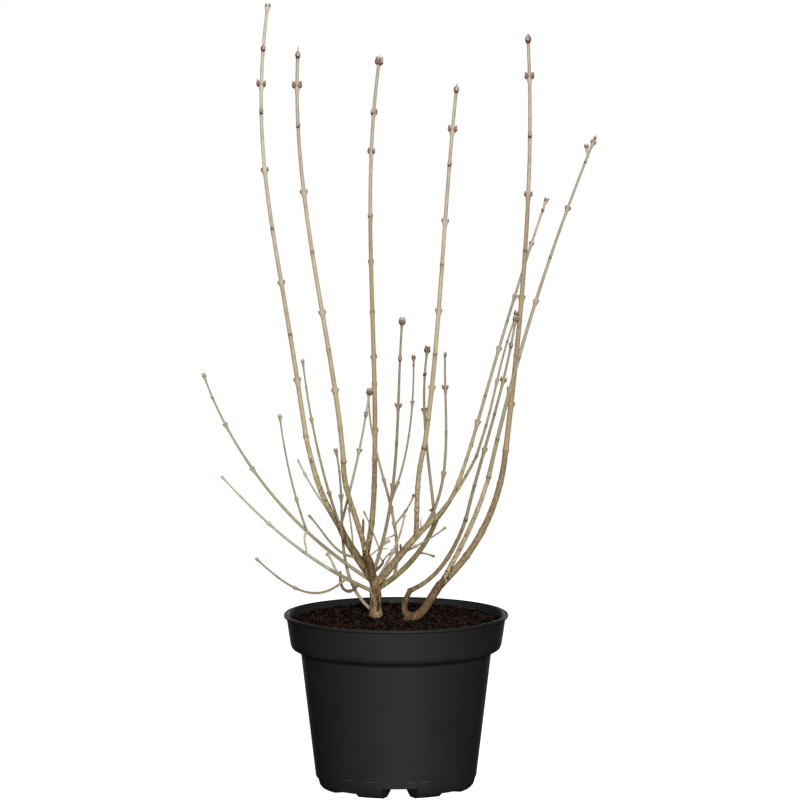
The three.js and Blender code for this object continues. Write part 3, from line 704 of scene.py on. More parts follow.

# Plain colour of each kind of bark and of the algae on it, and how uneven it is, by how old
# and how damp the wood is; the dark colour in the hollow is painted shade.
WOOD_SHADES = {"brown": ("#745f41", "#746b45", 0.6), "dark": ("#654e35", "#665c3c", 0.5),
               "pale": ("#a28c6a", "#98905f", 0.36), "green": ("#82754d", "#84814d", 0.34),
               "hollow_painted_shade": ("#4a3826", "#5c5136", 0.6), "strand": ("#b3987a", "#a0906a", 0.35),
               "straw": ("#bfad88", "#aaa16c", 0.22), "tan": ("#ac9b70", "#9c965f", 0.22),
               "cane": ("#927d5a", "#8a8055", 0.25)}
# Over about these lengths a limb's bark turns from its parent's colour, and then on to its
# own, in patches about so wide and with edges so ragged.
TURNING, TURNED, PATCH, RAGGED = 11, 22, 2.6, 0.9
# Pale strands of dead wood twist up the trunk: their number, share of the girth, where the
# first starts and how far one turns in a millimetre, in degrees. They fray at the edges and
# are broken off here and there.
STRANDS = {"count": 3, "width": 0.32, "wind": 2.2, "start": 64, "fray": 3.4, "frayed": 0.8,
           "break": (9, 9, 5), "broken_below": -0.18}


def on_strand(point, at):
    """Whether a point of the trunk is on a pale strand."""
    foot = OLD_WOOD["trunk"]["start"]
    turn = math.degrees(math.atan2(point[1] - foot[1], point[0] - foot[0]))
    turn += STRANDS["wind"] * at
    place = (turn + STRANDS["start"]) * STRANDS["count"] / 360 % 1
    rough = 0.5 + STRANDS["frayed"] * noise.noise(point / STRANDS["fray"])
    return (place < STRANDS["width"] * rough
            and noise.noise(point / STRANDS["break"]) > STRANDS["broken_below"])


def kind_at(point, name, at):
    """The kind of bark at a point: the limb's own, or in patches near its foot its parent's
    or one between the two."""
    # Painted shade: the bark deep in the hollow is given a dark colour.
    if in_hollow(point) > HOLLOW["hollow_painted_shade"]:
        return "hollow_painted_shade"
    if name == "trunk" and on_strand(point, at):
        return "strand"
    limb = OLD_WOOD[name]
    patch = 0.5 + RAGGED * noise.noise(point / PATCH)
    if patch < math.exp(-at / TURNING):
        return OLD_WOOD.get(limb["start"][0], limb)["bark"]
    is_between = name.endswith("cane") and patch < math.exp(-at / TURNED)
    return "cane" if is_between else limb["bark"]


wood_kinds = list(WOOD_SHADES)
point_kinds = [wood_kinds.index(kind_at(*each))
               for each in zip(wood_points, wood_owners, wood_ats)]
wood_barks = [lilac_bark(f"{kind}_lilac_bark", *shades) for kind, shades in WOOD_SHADES.items()]
for name, slot, are_canes in (("old_stems", "old_bark", False), ("canes", "cane_bark", True)):
    limbs = [limb for limb in OLD_WOOD if limb.endswith("cane") == are_canes]
    chosen = [owner in limbs for owner in wood_owners]
    dealt = [point_kinds[face[0]] for face in wood_faces if chosen[face[0]]]
    piece = add_piece(name, *part_of(wood_points, wood_faces, chosen), wood_barks, slot,
                      dealt=dealt)
    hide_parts(*limbs)


# ---- Tall shoots ----
# Last summer's growth on the canes: straight slim rods, olive at the foot and straw-coloured
# towards the tip, widened under each pair of buds, every pair turned a quarter from the last.

# Internodes: lengths between bud pairs from the foot up, the last pair at the tip. Stub: the
# dead end that stands between the tip buds. Plump: how large the buds are.
SHOOTS = {
    "far_left_shoot": stem(
        ("far_left_cane", 1), (15, 140), (-131, 62, 794), (5, 0), (4.8, 3.1), sway=3.2, bark="blond",
        internodes=(60, 47, 54, 56, 60, 59, 28, 36, 44)),
    "left_shoot": stem(
        ("left_cane", 1), (22, 260), (-97, -100, 751), (3, 0), (5, 3.2), facing=90, stub=9, bark="bright",
        internodes=(39, 41, 45, 38, 63, 60, 66, 39, 31)),
    "middle_shoot": stem(
        ("middle_cane", 1), (19, 87), (-17.5, 125, 735), (8, 0), (5, 3.3), facing=-35, stub=7, bark="tan",
        internodes=(31, 49, 28, 47, 52, 47, 66, 40, 53)),
    "right_shoot": stem(
        ("right_cane", 1), (28, 285), (59.5, -127, 718), (6, 0), (4.8, 3.2), facing=90, stub=7,
        bark="bright", internodes=(35, 35, 37, 45, 48, 43, 56, 34, 39)),
    "side_shoot": stem(
        ("side_cane", 1), (13, 58), (135, 70, 758), (3, 180), (5.6, 3.2), facing=90, bark="tan",
        internodes=(49, 50, 60, 48, 57, 60, 60, 36)),
    "outer_right_shoot": stem(
        ("outer_right_cane", 1), (20, 304), (197, -95, 668), (22, 0), (4.3, 2.2), facing=90, bark="grey",
        internodes=(44, 55, 36, 62, 48, 52, 50, 20),
        spur={"at": 0.95, "leave": (8, 200), "length": 9, "thick": (2, 1.8)}),
    "back_right_shoot": stem(
        ("back_right_cane", 1), (23, 46), (155.5, 127, 591), (19, 0), (3.5, 2.2), bark="straw",
        internodes=(26, 28, 52, 30, 27, 31, 26, 36, 11)),
    "slim_right_shoot": stem(
        ("slim_right_cane", 1), (17, 319), (120.5, -50, 489), (14, 0), (2.8, 1.8), sway=1.5, bark="grey",
        internodes=(34, 48, 41, 28)),
    "front_right_shoot": stem(
        ("front_right_cane", 1), (29, 292), (118.5, -115, 489), (9, 0), (3.6, 2.1), bark="dull",
        internodes=(44, 44, 43, 36, 36, 25), plump=1.2),
}
BUD_SEED = 29
BARE_TIP = 4  # no bud pair comes nearer than this to the pair at the tip
# For twigs without their own internodes: about how far apart the bud pairs are, by what share
# of that they are shifted at most, and what share of a side twig is bare.
SEEDED = {"internode": 30, "shift": 0.15, "bare_share": 0.6}
# Bud length in stem widths at the foot and what the tip adds, the least length, how uneven it
# is, how much longer a tip bud is, and how unevenly the pairs turn, in degrees.
BUD_LENGTH = {"foot": 0.3, "tip": 2, "least": 1.6, "uneven": 0.2, "at_tip": 1.2, "askew": 16}
TWIG_COLLAR = {"swell": 0.3, "fade": 2.5}
# The stem widens over "below" up to a bud pair, most towards the buds, and narrows over
# "above". The ledge under the buds is full on a stem of radius "full_to", and less on a thicker.
NODE = {"all_round": 0.14, "ledge": 0.72, "full_to": 1.7, "below": 4.2, "above": 0.9}
# Where a stem has rings: at this step, round each bud pair and over its round end, but none
# nearer to the last than the least step.
TWIG_STEP, LEAST_STEP, END = 4.5, 0.25, 2.3
NODE_RINGS = (-9, -6.5, -4.8, -3.5, -2.4, -1.5, -0.8, -0.2, 0.3, 0.8, 1.4, 2.2, 3.5)
END_RINGS = (0, 0.6, 1.3, 1.9, END)
SHOOT_SIDES = 16


def random_from(seed):
    """Park-Miller random numbers between 0 and 1, the same every time for one seed."""
    state = seed
    while True:
        state = state * 48271 % 2147483647
        yield state / 2147483647


def bud_pairs(limb, length, draw):
    """The bud pairs of a twig as (distance, stem radius, bud length, facing), the last at its
    tip: at its own internodes, or spaced by the seeded rule."""
    if "internodes" in limb:
        at = [float(a) for a in np.cumsum(limb["internodes"]) if a < length - BARE_TIP]
    else:
        run = length - limb["bare"]
        count = max(1, math.floor(run / limb["internode"] + 0.5))
        shifts = [(next(draw) - 0.5) * 2 * SEEDED["shift"] for _ in range(count)]
        at = [limb["bare"] + run * (i + shift) / count for i, shift in enumerate(shifts)]
    at.append(length)
    pairs, last = [], len(at) - 1
    for i, distance in enumerate(at):
        share = distance / length
        radius = radius_at(limb, share)
        plump = limb.get("plump", 1) * (BUD_LENGTH["foot"] + BUD_LENGTH["tip"] * share ** 2)
        bud = max(BUD_LENGTH["least"], plump * 2 * radius)
        bud = bud * (1 + BUD_LENGTH["uneven"] * (next(draw) - 0.5))
        facing = limb["facing"] + 90 * (last - i) + BUD_LENGTH["askew"] * (next(draw) - 0.5)
        bud = bud * (BUD_LENGTH["at_tip"] if i == last else 1)
        pairs.append((distance, radius, bud, math.radians(facing)))
    return pairs


def twig_skin(limb, curve, pairs, sides):
    """A stem with its widened joints and a rounded end between the tip buds. Also tells how
    far along each row of faces lies."""
    length = curve[1][-1]
    at = np.concatenate([np.arange(-SINK, length, TWIG_STEP), length + np.array(END_RINGS)]
                        + [pair[0] + np.array(NODE_RINGS) for pair in pairs])
    at = np.unique(np.round(at[(at >= -SINK) & (at <= length + END)], 2))
    at = at[np.concatenate([[True], np.diff(at) > LEAST_STEP])]
    radius = radius_at(limb, at / length)
    collar = TWIG_COLLAR["swell"] * np.exp(-np.maximum(at, 0) / TWIG_COLLAR["fade"])
    radii = np.repeat((radius * (1 + collar))[:, None], sides, axis=1)
    turn = np.arange(sides) * 2 * math.pi / sides
    for distance, radius_here, _, facing in pairs:
        past = at - distance
        fade = np.where(past < 0, NODE["below"], NODE["above"])
        near = np.exp(-(past / fade) ** 2)[:, None]
        towards = np.abs(np.cos(turn - facing)) ** 3
        ledge = NODE["ledge"] * min(1, (NODE["full_to"] / radius_here) ** 2.5)
        radii = radii * (1 + near * (NODE["all_round"] + ledge * towards))
    # The end is rounded off to a fifth of the width.
    beyond = np.clip((at - length) / END, 0, 1)
    radii = radii * np.sqrt(1 - 0.96 * beyond ** 1.5)[:, None]
    points, faces = skin(curve, at, radii, sides)
    middles = np.repeat((at[1:] + at[:-1]) / 2, sides)
    return points, faces, np.concatenate([middles, np.repeat([0, length], sides)])


def twigs_of(limb, curve, draw):
    """The limb itself, then its side twigs and spur: each with its curve and bud pairs. A
    broken one has no buds."""
    pairs = [] if limb.get("broken") else bud_pairs(limb, curve[1][-1], draw)
    grown = [(limb, curve, pairs)]
    for side in limb.get("sides", ()):
        side_curve = curve_of(side, curve)
        length = side_curve[1][-1]
        twig = {"bark": limb["bark"], "internode": SEEDED["internode"],
                "bare": SEEDED["bare_share"] * length, **side, "facing": limb["facing"]}
        grown.append((twig, side_curve, bud_pairs(twig, length, draw)))
    if "spur" in limb:
        spur = {"bark": limb["bark"], "internodes": (), "facing": 0, **limb["spur"]}
        foot = places(curve, spur["at"] * curve[1][-1])[0][0]
        way = heading(*spur["leave"])
        spur_curve = even_turn(foot, way, foot + spur["length"] * way, way)
        grown.append((spur, spur_curve, bud_pairs(spur, spur["length"], draw)))
    return grown


def all_twigs(limbs, draw):
    """Every twig that a table of limbs grows, and for each the name of its limb."""
    twigs, names = [], []
    for name, limb in limbs.items():
        curves[name] = curve_of(limb)
        grown = twigs_of(limb, curves[name], draw)
        twigs += grown
        names += [name] * len(grown)
    return twigs, names


def young_bark(name, plain):
    """Bark of a one-year lilac twig: smooth, dry and matt, finely lined and flecked with cork."""
    material, tree, shader, place = new_material(name)
    drawn_out = add(tree, "Mapping", {"Vector": place, "Scale": (1, 1, 0.16)})
    # The lines are 0.3 mm apart: they are drawn 1.1 mm apart, or they would not show.
    lines = add(tree, "TexNoise", {"Vector": drawn_out, "Scale": 1 / (1.1 * MM), "Detail": 4})
    tone = add(tree, "ValToRGB", {"Fac": lines},
               stops=[(0.32, shaded(plain, 0.8)), (0.5, linear(plain)), (0.7, shaded(plain, 1.18))])
    # A brownish bloom in patches of 14 mm.
    bloom = tinged(tree, place, tone, "#967a58", 14, 0.72, 0.3)
    bump = add(tree, "Bump", {"Height": lines, "Distance": 0.15 * MM, "Strength": 0.6})
    plug(shader, {"Base Color": bloom, "Normal": bump, "Roughness": 0.7,
                  "Specular IOR Level": 0.35})
    return material


# Each internode takes one of its shoot's three colours, from the foot of the shoot to its tip.
SHOOT_SHADES = {
    "blond": ("#c3b28e", "#c9bc9f", "#d3c7b1"), "bright": ("#bfae89", "#c3b497", "#b9ac98"),
    "tan": ("#b39d76", "#ae9a7b", "#bfb09b"), "grey": ("#b0a27e", "#b3a68b", "#aea28b"),
    "straw": ("#b8ab87", "#beb194", "#c7ba9d"), "dull": ("#a29570", "#a49675", "#9f9378"),
}

draw = random_from(BUD_SEED)
shoots, shoot_names = all_twigs(SHOOTS, draw)
shoot_parts, shoot_dealt = [], []
for limb, curve, pairs in shoots:
    points, faces, middles = twig_skin(limb, curve, pairs, SHOOT_SIDES)
    shoot_parts.append((points, faces))
    joints = np.array([0] + [pair[0] for pair in pairs])
    stretch = np.clip(np.searchsorted(joints, middles), 1, len(joints) - 1)
    share = (joints[stretch - 1] + joints[stretch]) / 2 / joints[-1]
    kind = list(SHOOT_SHADES).index(limb["bark"])
    shoot_dealt.append(3 * kind + np.clip(3 * share, 0, 2).astype(int))
shoot_barks = [young_bark(f"{kind}_shoot_bark_{i}", shade)
               for kind, shades in SHOOT_SHADES.items() for i, shade in enumerate(shades)]
tall_shoots = add_piece("tall_shoots", *one_mesh(shoot_parts), shoot_barks, "shoot_bark",
                        dealt=np.concatenate(shoot_dealt))
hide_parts(*SHOOTS)


# ---- Sprays of twigs ----
# The short thin growth low in the bush: each spray is a twig with the side twigs that branch
# from it, olive-green on the left where it is youngest, tan and grey in the middle.

SPRAYS = {
    "far_left_spray": stem(
        ("left_bough", 0), (57, 173), (-198.5, 95, 411), (19, 162), (3.9, 1.7),
        internodes=(126, 51, 8, 46, 31, 22), sway=-1, bark="olive", sides=(
            stem(0.31, (28, 232), (-118, 0, 379), (13, 241), (2.3, 1.6), internodes=(25, 16, 60, 31)),
        )),
    "low_left_spray": stem(
        ("trunk", 0.76), (66, 207), (-174, -74, 327), (43, 204), (4.2, 1.4), internodes=(101, 53, 44, 28),
        bark="lime", sides=(
            stem(0.17, (119, 230), (-139, -94, 247), (49, 217), (2.7, 1.6), bark="tan"),
            stem(0.18, (68, 195), (-69.5, -4, 239), (39, 207), (2.6, 1.8)),
            stem(0.42, (8, 0), (-91.5, -22, 263), (32, 0), (1.8, 1.4)),
        )),
    "basal_spray": stem(
        ("trunk", 0.2), (56, 173), (-62, 75, 335), (17, 141), (3.6, 1.8), internodes=(98, 20, 14, 26, 22),
        bark="drab"),
    "short_left_spray": stem(
        ("left_bough", 0.47), (88, 207), (-88, -5, 278.5), (47, 215), (2.9, 1.6), internodes=(51, 26),
        bark="grey"),
    "front_left_spray": stem(
        ("left_bough", 0.9), (40, 247), (-93.5, -60, 442), (15, 246), (3, 1.6),
        internodes=(56, 55, 36, 36, 27), bark="tan"),
    "inner_left_spray": stem(
        ("far_left_cane", 0.1), (44, 222), (-99.5, 0, 335), (28, 218), (2.2, 1.6), internodes=(63, 16),
        facing=90, bark="lime"),
    "front_middle_spray": stem(
        ("left_bough", 0.97), (30, 296), (-27, -62, 410), (25, 287), (2.8, 1.8), internodes=(105, 46, 26),
        plump=1.5, bark="lime"),
    "centre_spray": stem(
        ("middle_bough", 0.3), (25, 318), (6, -85, 483), (15, 285), (3.8, 2),
        internodes=(108, 51, 42, 53, 38), plump=1.4, bark="drab", sides=(
            stem(0.3, (29, 37), (18, 30, 436), (17, 90), (2.2, 1.5), internodes=(21, 51, 33, 38, 7)),
        )),
    "crossing_spray": stem(
        ("low_right_bough", 0.23), (13, 335), (-27.5, 5, 404), (7, 293), (3.4, 1.7),
        internodes=(57, 17, 31, 93), facing=45, bark="tan", sides=(
            stem(0.28, (52, 42), (17.5, 48, 292), (33, 55), (2, 1.6)),
        )),
    "flat_front_spray": stem(
        ("right_bough", 0.44), (64, 309), (49.5, -45, 272), (58, 309), (2.2, 1.5), internode=24, bare=24,
        bark="lime"),
    "flat_back_spray": stem(
        ("low_right_bough", 0.51), (50, 56), (38.5, 62, 228), (108, 44), (2, 1.4), internode=14, bare=14,
        bark="grey"),
    "back_spray": stem(
        ("right_bough", 0.97), (25, 102), (32, 82, 438), (21, 68), (3.2, 2.1), internodes=(122, 39, 25),
        plump=1.3, bark="drab"),
    "inner_right_spray": stem(
        ("right_bough", 0.76), (44, 324), (49.5, -28, 445), (1, 0), (3.4, 1.9),
        internodes=(72, 43, 44, 33), facing=90, bark="drab"),
}
# Small twigs and dead stubs deep in the bush.
INNER_TWIGS = {
    "dead_snag": stem(
        ("left_cane", 0.17), (1, 0), (-33.5, 2.5, 272.5), (1, 180), (2.6, 2.5), bark="dark", broken=True),
    "inner_fork": stem(
        ("centre_spray", 0.1), (27, 155), (-32.5, 19.5, 279), (30, 157), (1.8, 1.2), bark="grey",
        internodes=()),
    "green_stub": stem(
        ("centre_spray", 0.12), (70, 348), (-8, 9.5, 251), (75, 0), (2.4, 2), bark="olive",
        internodes=()),
    "pale_twig": stem(
        ("trunk", 0.96), (31, 327), (8.5, 4, 278.5), (8, 0), (3.5, 1.6), bark="pale",
        internodes=(44, 24)),
    "loop_foot": stem(
        ("low_left_spray", 0.1), (148, 202), (-47.5, 10.5, 199), (95, 180), (3, 3), bark="dark",
        broken=True),
    "loop_rise": stem(
        ("loop_foot", 1), (95, 180), (-57, 6.5, 218.5), (3, 0), (3, 2.6), bark="dark", broken=True),
    "left_thread": stem(
        ("left_bough", 0.57), (7, 125), (-48.5, 36.5, 280.5), (10, 144), (1.8, 1.3), bark="olive",
        internodes=(24,)),
    "cane_link": stem(
        ("middle_bough", 0.91), (46, 16), (-18.5, 18, 241), (55, 0), (1.7, 1.5), bark="tan", broken=True),
    "dark_stub": stem(
        ("middle_bough", 0.33), (32, 338), (-13.5, 16, 228.5), (15, 0), (3.6, 2.6), bark="dark",
        broken=True),
    "right_thread": stem(
        ("dark_stub", 1), (20, 0), (-4, 18, 238.5), (58, 0), (1.4, 1.1), bark="dark", internodes=()),
    "short_thread": stem(
        ("dark_stub", 1), (30, 180), (-18.5, 18, 235), (60, 180), (1.4, 1.1), bark="dark", broken=True),
    "grey_thread": stem(
        ("centre_spray", 0.14), (51, 15), (-1.5, 13.5, 257), (55, 0), (1.3, 1), bark="grey",
        internodes=()),
    "grey_hook": stem(
        ("centre_spray", 0.1), (60, 7), (-10, 15.5, 242.5), (100, 0), (1.2, 0.9), bark="grey",
        broken=True),
    "bough_knob": stem(
        ("right_bough", 0.46), (22, 229), (4.5, 5.5, 246.5), (8, 180), (2.6, 2.4), bark="dark",
        broken=True),
    "pink_stub": stem(
        ("right_bough", 0.78), (6, 270), (25, -4, 273.5), (2, 0), (1.6, 1.3), bark="pale", broken=True),
    "side_bud": stem(
        ("inner_right_spray", 0.17), (65, 180), (35.5, -15, 286), (80, 180), (1.6, 1.6), bark="dark",
        internodes=()),
}
TWIG_SHADES = {"olive": "#aba580", "lime": "#c0be9f", "tan": "#b09d7a", "drab": "#9b8f6f",
               "grey": "#a0967a", "pale": "#c0a992", "dark": "#6b5640"}
TWIG_SIDES = 12
FOOT_SHARE = 0.28  # the oldest part of a spray, drab whatever the rest is

sprays, spray_names = all_twigs({**SPRAYS, **INNER_TWIGS}, draw)
twig_parts, twig_dealt, twig_kinds = [], [], list(TWIG_SHADES)
for (limb, curve, pairs), name in zip(sprays, spray_names):
    points, faces, middles = twig_skin(limb, curve, pairs, TWIG_SIDES)
    twig_parts.append((points, faces))
    is_foot = (middles < FOOT_SHARE * curve[1][-1]) & (limb is SPRAYS.get(name))
    twig_dealt += list(np.where(is_foot, twig_kinds.index("drab"),
                                twig_kinds.index(limb["bark"])))
twig_barks = [young_bark(f"twig_bark_{kind}", shade) for kind, shade in TWIG_SHADES.items()]
spray_twigs = add_piece("spray_twigs", *one_mesh(twig_parts), twig_barks, "twig_bark",
                        dealt=twig_dealt)
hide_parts(*SPRAYS)


# ---- Winter buds ----
# Plump pointed buds in pairs above each leaf scar, closed by keeled scales that overlap in
# crossed pairs: brown and dry outside, red-brown above, pinkish where the newest scales show.

# Half-width of a bud at shares of its length, as a share of its full width.
BUD_SHAPE = ((0, 0.3), (0.12, 0.42), (0.3, 0.5), (0.5, 0.47), (0.7, 0.36), (0.85, 0.23),
             (0.95, 0.11), (1, 0.02))
BUD_SIDES = 8
# Crossed pairs of scales: where they begin and end up the bud, half their spread in degrees
# and how far they stand proud of it. Each is keeled, stands off at its tip and is pointed.
BUD_SCALES = ((0, 0.46, 84, 1.14), (0.06, 0.74, 80, 1.09), (0.2, 1, 74, 1.04))
SCALE = {"keel": 0.035, "loose": 0.03, "pointed": 2.4, "steps": 5}
# Width as a share of length, how far out of line a side bud and a tip bud lean, how far below
# the top of the joint a side bud is seated, as a share of the stem's radius, and the colour of
# the lower ones. Tip buds are seated lower, and more so beside a dead stub.
BUD_HABIT = {
    "shoot_buds": {"width": 0.58, "lean": 18, "tip_lean": 15, "down": 0.85, "low": "brown"},
    "twig_buds": {"width": 0.52, "lean": 24, "tip_lean": 9, "down": 0.7, "low": "straw"},
}
TIP_DOWN, STUB_DOWN = 0.9, 1.9
# How far from the stem's axis buds are seated: as shares of its radius, with "added" in mm.
SEAT = {"tip": 0.6, "most": 1.02, "share": 0.6, "added": 0.93}
# Side buds are so much larger than the rule says. No bud is shorter than this share of the
# stem's radius, or than this in mm where that is less. Length and width vary a little.
SIDE_LARGER, LEAST_BUD, LEAST_BUD_TOP = 1.2, 2.1, 3.8
BUD_VARIES, WIDTH_VARIES = 0.14, 0.12
# Colours of the three pairs of scales from the outside in: of plump buds near a tip, ripe on
# the tall shoots and brown on some twigs, and of the small straw-coloured ones elsewhere.
BUD_SHADES = {"ripe": ("#66463c", "#8a685c", "#bba096"),
              "brown": ("#5e4738", "#846a55", "#b09b84"),
              "straw": ("#8f7d57", "#ab9973", "#c6b793")}
RIPE_FROM = 0.55  # the share of a twig's length above which its buds are plump
# Colour and size of the buds on a limb, and of the pair at its tip where that differs.
SHOOT_BUDS, TWIG_BUDS = ("ripe", 1), ("straw", 0.6)
BUD_KINDS = {
    "left_shoot": ("ripe", 0.86), "right_shoot": ("ripe", 0.84), "middle_shoot": ("ripe", 0.92),
    "front_right_shoot": ("brown", 1), "outer_right_shoot": ("brown", 0.75),
    "back_right_shoot": ("straw", 0.75), "slim_right_shoot": ("straw", 0.95),
    "far_left_spray": ("straw", 1), "low_left_spray": ("straw", 0.75),
    "basal_spray": ("straw", 0.9), "short_left_spray": ("straw", 0.75),
    "front_left_spray": ("straw", 0.95), "front_middle_spray": ("brown", 1.05),
    "centre_spray": ("ripe", 0.95), "crossing_spray": ("brown", 0.9),
    "flat_front_spray": ("straw", 0.7), "flat_back_spray": ("straw", 0.7),
    "back_spray": ("brown", 1.05), "inner_right_spray": ("brown", 1.05),
}
TIP_KINDS = {"far_left_shoot": ("ripe", 0.56), "outer_right_shoot": ("ripe", 0.8),
             "centre_spray": ("ripe", 1.15)}


def bud_form():
    """One bud of length and width 1, growing up Z, as points, faces and a colour per face."""
    heights, halves = np.array(BUD_SHAPE).T
    steps = SCALE["steps"]
    core = ringed_faces(len(heights), BUD_SIDES) + [tuple(range(BUD_SIDES - 1, -1, -1))]
    parts, colours = [(rings_of(halves, heights, BUD_SIDES), core)], [2] * len(core)
    patch = [(low, low + 1, low + steps + 1, low + steps)
             for i in range(steps - 1) for low in range(i * steps, i * steps + steps - 1)]
    for k, (begin, end, spread, proud) in enumerate(BUD_SCALES):
        for across in (0, 180):
            grid = []
            for v in np.linspace(0, 1, steps):
                height = begin + (end - begin) * v
                half = np.interp(height, heights, halves)
                reach = spread * (1 - v ** SCALE["pointed"])
                for u in np.linspace(-1, 1, steps):
                    angle = math.radians(across + 90 * (k % 2) + u * reach)
                    out = half * proud + SCALE["keel"] * (1 - abs(u)) + SCALE["loose"] * v
                    grid.append(out * level(angle) + (0, 0, height))
            parts.append((grid, patch))
            colours += [k] * len(patch)
    return *one_mesh(parts), colours


def beside(curve, at, turn):
    """Centre, way along and way out at one place on a curve, turned round it from its side."""
    (centre,), (along,), (side,), (front,) = places(curve, at)
    return centre, along, side * math.cos(turn) + front * math.sin(turn)


def buds_on(twigs, names, habit):
    """Both buds of every pair on the twigs, as one mesh with a colour per face."""
    form, form_faces, form_colours = bud_form()
    parts, colours = [], []
    for (limb, curve, pairs), name in zip(twigs, names):
        usual = BUD_KINDS.get(name, SHOOT_BUDS if name in SHOOTS else TWIG_BUDS)
        for i, (distance, radius, length, facing) in enumerate(pairs):
            is_tip = i == len(pairs) - 1
            is_ripe = distance > RIPE_FROM * curve[1][-1]
            kind, scale = TIP_KINDS.get(name, usual) if is_tip else usual
            lean = math.radians(habit["tip_lean" if is_tip else "lean"])
            least = min(LEAST_BUD * radius, LEAST_BUD_TOP)
            if is_tip:
                seat, down = SEAT["tip"] * radius, STUB_DOWN if "stub" in limb else TIP_DOWN
            else:
                seat = min(SEAT["most"] * radius, SEAT["share"] * radius + SEAT["added"])
                down, length = habit["down"], SIDE_LARGER * length
            for turn in (facing, facing + math.pi):
                centre, along, out = beside(curve, distance, turn)
                axis = out * math.sin(lean) + along * math.cos(lean)
                cross = unit(np.cross(axis, out))
                size = max(scale * length, least)
                size = size * (1 + BUD_VARIES * (rng.random() - 0.5))
                width = size * habit["width"] * (1 + WIDTH_VARIES * (rng.random() - 0.5))
                shape = (form[:, :1] * width * np.cross(cross, axis)
                         + form[:, 1:2] * width * cross + form[:, 2:] * size * axis)
                parts.append((centre + out * seat - along * down * radius + shape, form_faces))
                own = kind if is_tip or rng.random() < 0.5 else "brown"
                if kind == "straw" or not is_ripe and own != "brown":
                    own = habit["low"]
                first_colour = 3 * list(BUD_SHADES).index(own)
                colours += [first_colour + colour for colour in form_colours]
    return *one_mesh(parts), colours


def bud_scale(name, shade):
    """Dry bud scales: smooth with a faint waxy sheen, darker in fine mottles."""
    material, tree, shader, place = new_material(name)
    # Mottles of 0.5 mm are drawn 0.9 mm wide, or they would not show.
    mottle = add(tree, "TexNoise", {"Vector": place, "Scale": 1 / (0.9 * MM), "Detail": 3})
    tone = add(tree, "ValToRGB", {"Fac": mottle},
               stops=[(0.35, shaded(shade, 0.6)), (0.65, shaded(shade, 1.4))])
    bump = add(tree, "Bump", {"Height": mottle, "Distance": 0.08 * MM})
    plug(shader, {"Base Color": tone, "Normal": bump, "Roughness": 0.45})
    return material


bud_scales = [bud_scale(f"{kind}_bud_scale_{i}", shade)
              for kind, shades in BUD_SHADES.items() for i, shade in enumerate(shades)]
for name, twigs, limb_names, slot in (("shoot_buds", shoots, shoot_names, "shoot_bark"),
                                      ("twig_buds", sprays, spray_names, "twig_bark")):
    points, faces, colours = buds_on(twigs, limb_names, BUD_HABIT[name])
    add_piece(name, points, faces, bud_scales, slot, dealt=colours)


# ---- Leaf scars, dead stubs and lenticels ----
# Below each bud is the pale corky half-moon where last year's leaf stood. Dead stubs stand
# between some tip buds, and small pale pores dot the bark.

# Width, height and thickness of a scar, as shares of the stem's radius, and of a pore. Scars
# lie so far below the pair, that far out and tipped up.
SCAR = {"size": (1.15, 0.75, 0.2), "sides": 8, "below": 0.6, "out": 1.5, "tipped": 0.25}
PORE = {"size": (0.45, 0.8, 0.16), "sides": 6, "first": 6, "last": 4, "shift": 2}
WOOD_PORES, SHOOT_PORES = 2.2, 2.6  # how far apart pores lie along a limb
STUB = {"thick": 1.5, "sides": 10, "taper": (1.3, 1.05, 0.95, 0.9, 0.85, 0.8, 0.5)}


def caps(spots, kind):
    """A low round corky cap at each spot (centre, outward way, way up, scale), as one mesh."""
    sides = kind["sides"]
    rim = circle(sides)
    form = np.vstack([rim - (0, 0, 1), rim * 0.7 + (0, 0, 0.7), [(0, 0, 1)]])
    faces = ringed_faces(2, sides) + fan(2 * sides, range(sides, 2 * sides))
    wide, tall, thick = kind["size"]
    parts = []
    for centre, outward, up, scale in spots:
        outward = unit(outward)
        across = unit(np.cross(up, outward))
        shape = (form[:, :1] * wide / 2 * across
                 + form[:, 1:2] * tall / 2 * np.cross(outward, across)
                 + form[:, 2:] * thick * outward)
        parts.append((centre + shape * scale, faces))
    return one_mesh(parts)


def scar_spots(twigs):
    """Places for the scars, under both buds of every pair."""
    spots = []
    for _, curve, pairs in twigs:
        for distance, radius, _, facing in pairs:
            for turn in (facing, facing + math.pi):
                centre, along, out = beside(curve, distance - SCAR["below"], turn)
                spots.append((centre + out * radius * SCAR["out"],
                              out + along * SCAR["tipped"], along, radius))
    return spots


def pore_spots(limbs, spacing):
    """Places on the bark for pores, at random round the limbs and about so far apart."""
    spots = []
    for limb, curve in limbs:
        length = curve[1][-1]
        shift = rng.uniform(-PORE["shift"], PORE["shift"])
        for at in np.arange(PORE["first"], length - PORE["last"], spacing) + shift:
            centre, along, out = beside(curve, at, rng.random() * 2 * math.pi)
            spots.append((centre + out * radius_at(limb, at / length), out, along, 1))
    return spots


def stubs(twigs):
    """The dead ends that stand between tip buds."""
    parts = []
    for limb, curve, pairs in twigs:
        if "stub" in limb:
            at = pairs[-1][0] + np.linspace(0, limb["stub"], len(STUB["taper"]))
            radii = STUB["thick"] / 2 * np.array(STUB["taper"])
            parts.append(skin(curve, at, radii, STUB["sides"]))
    return one_mesh(parts)


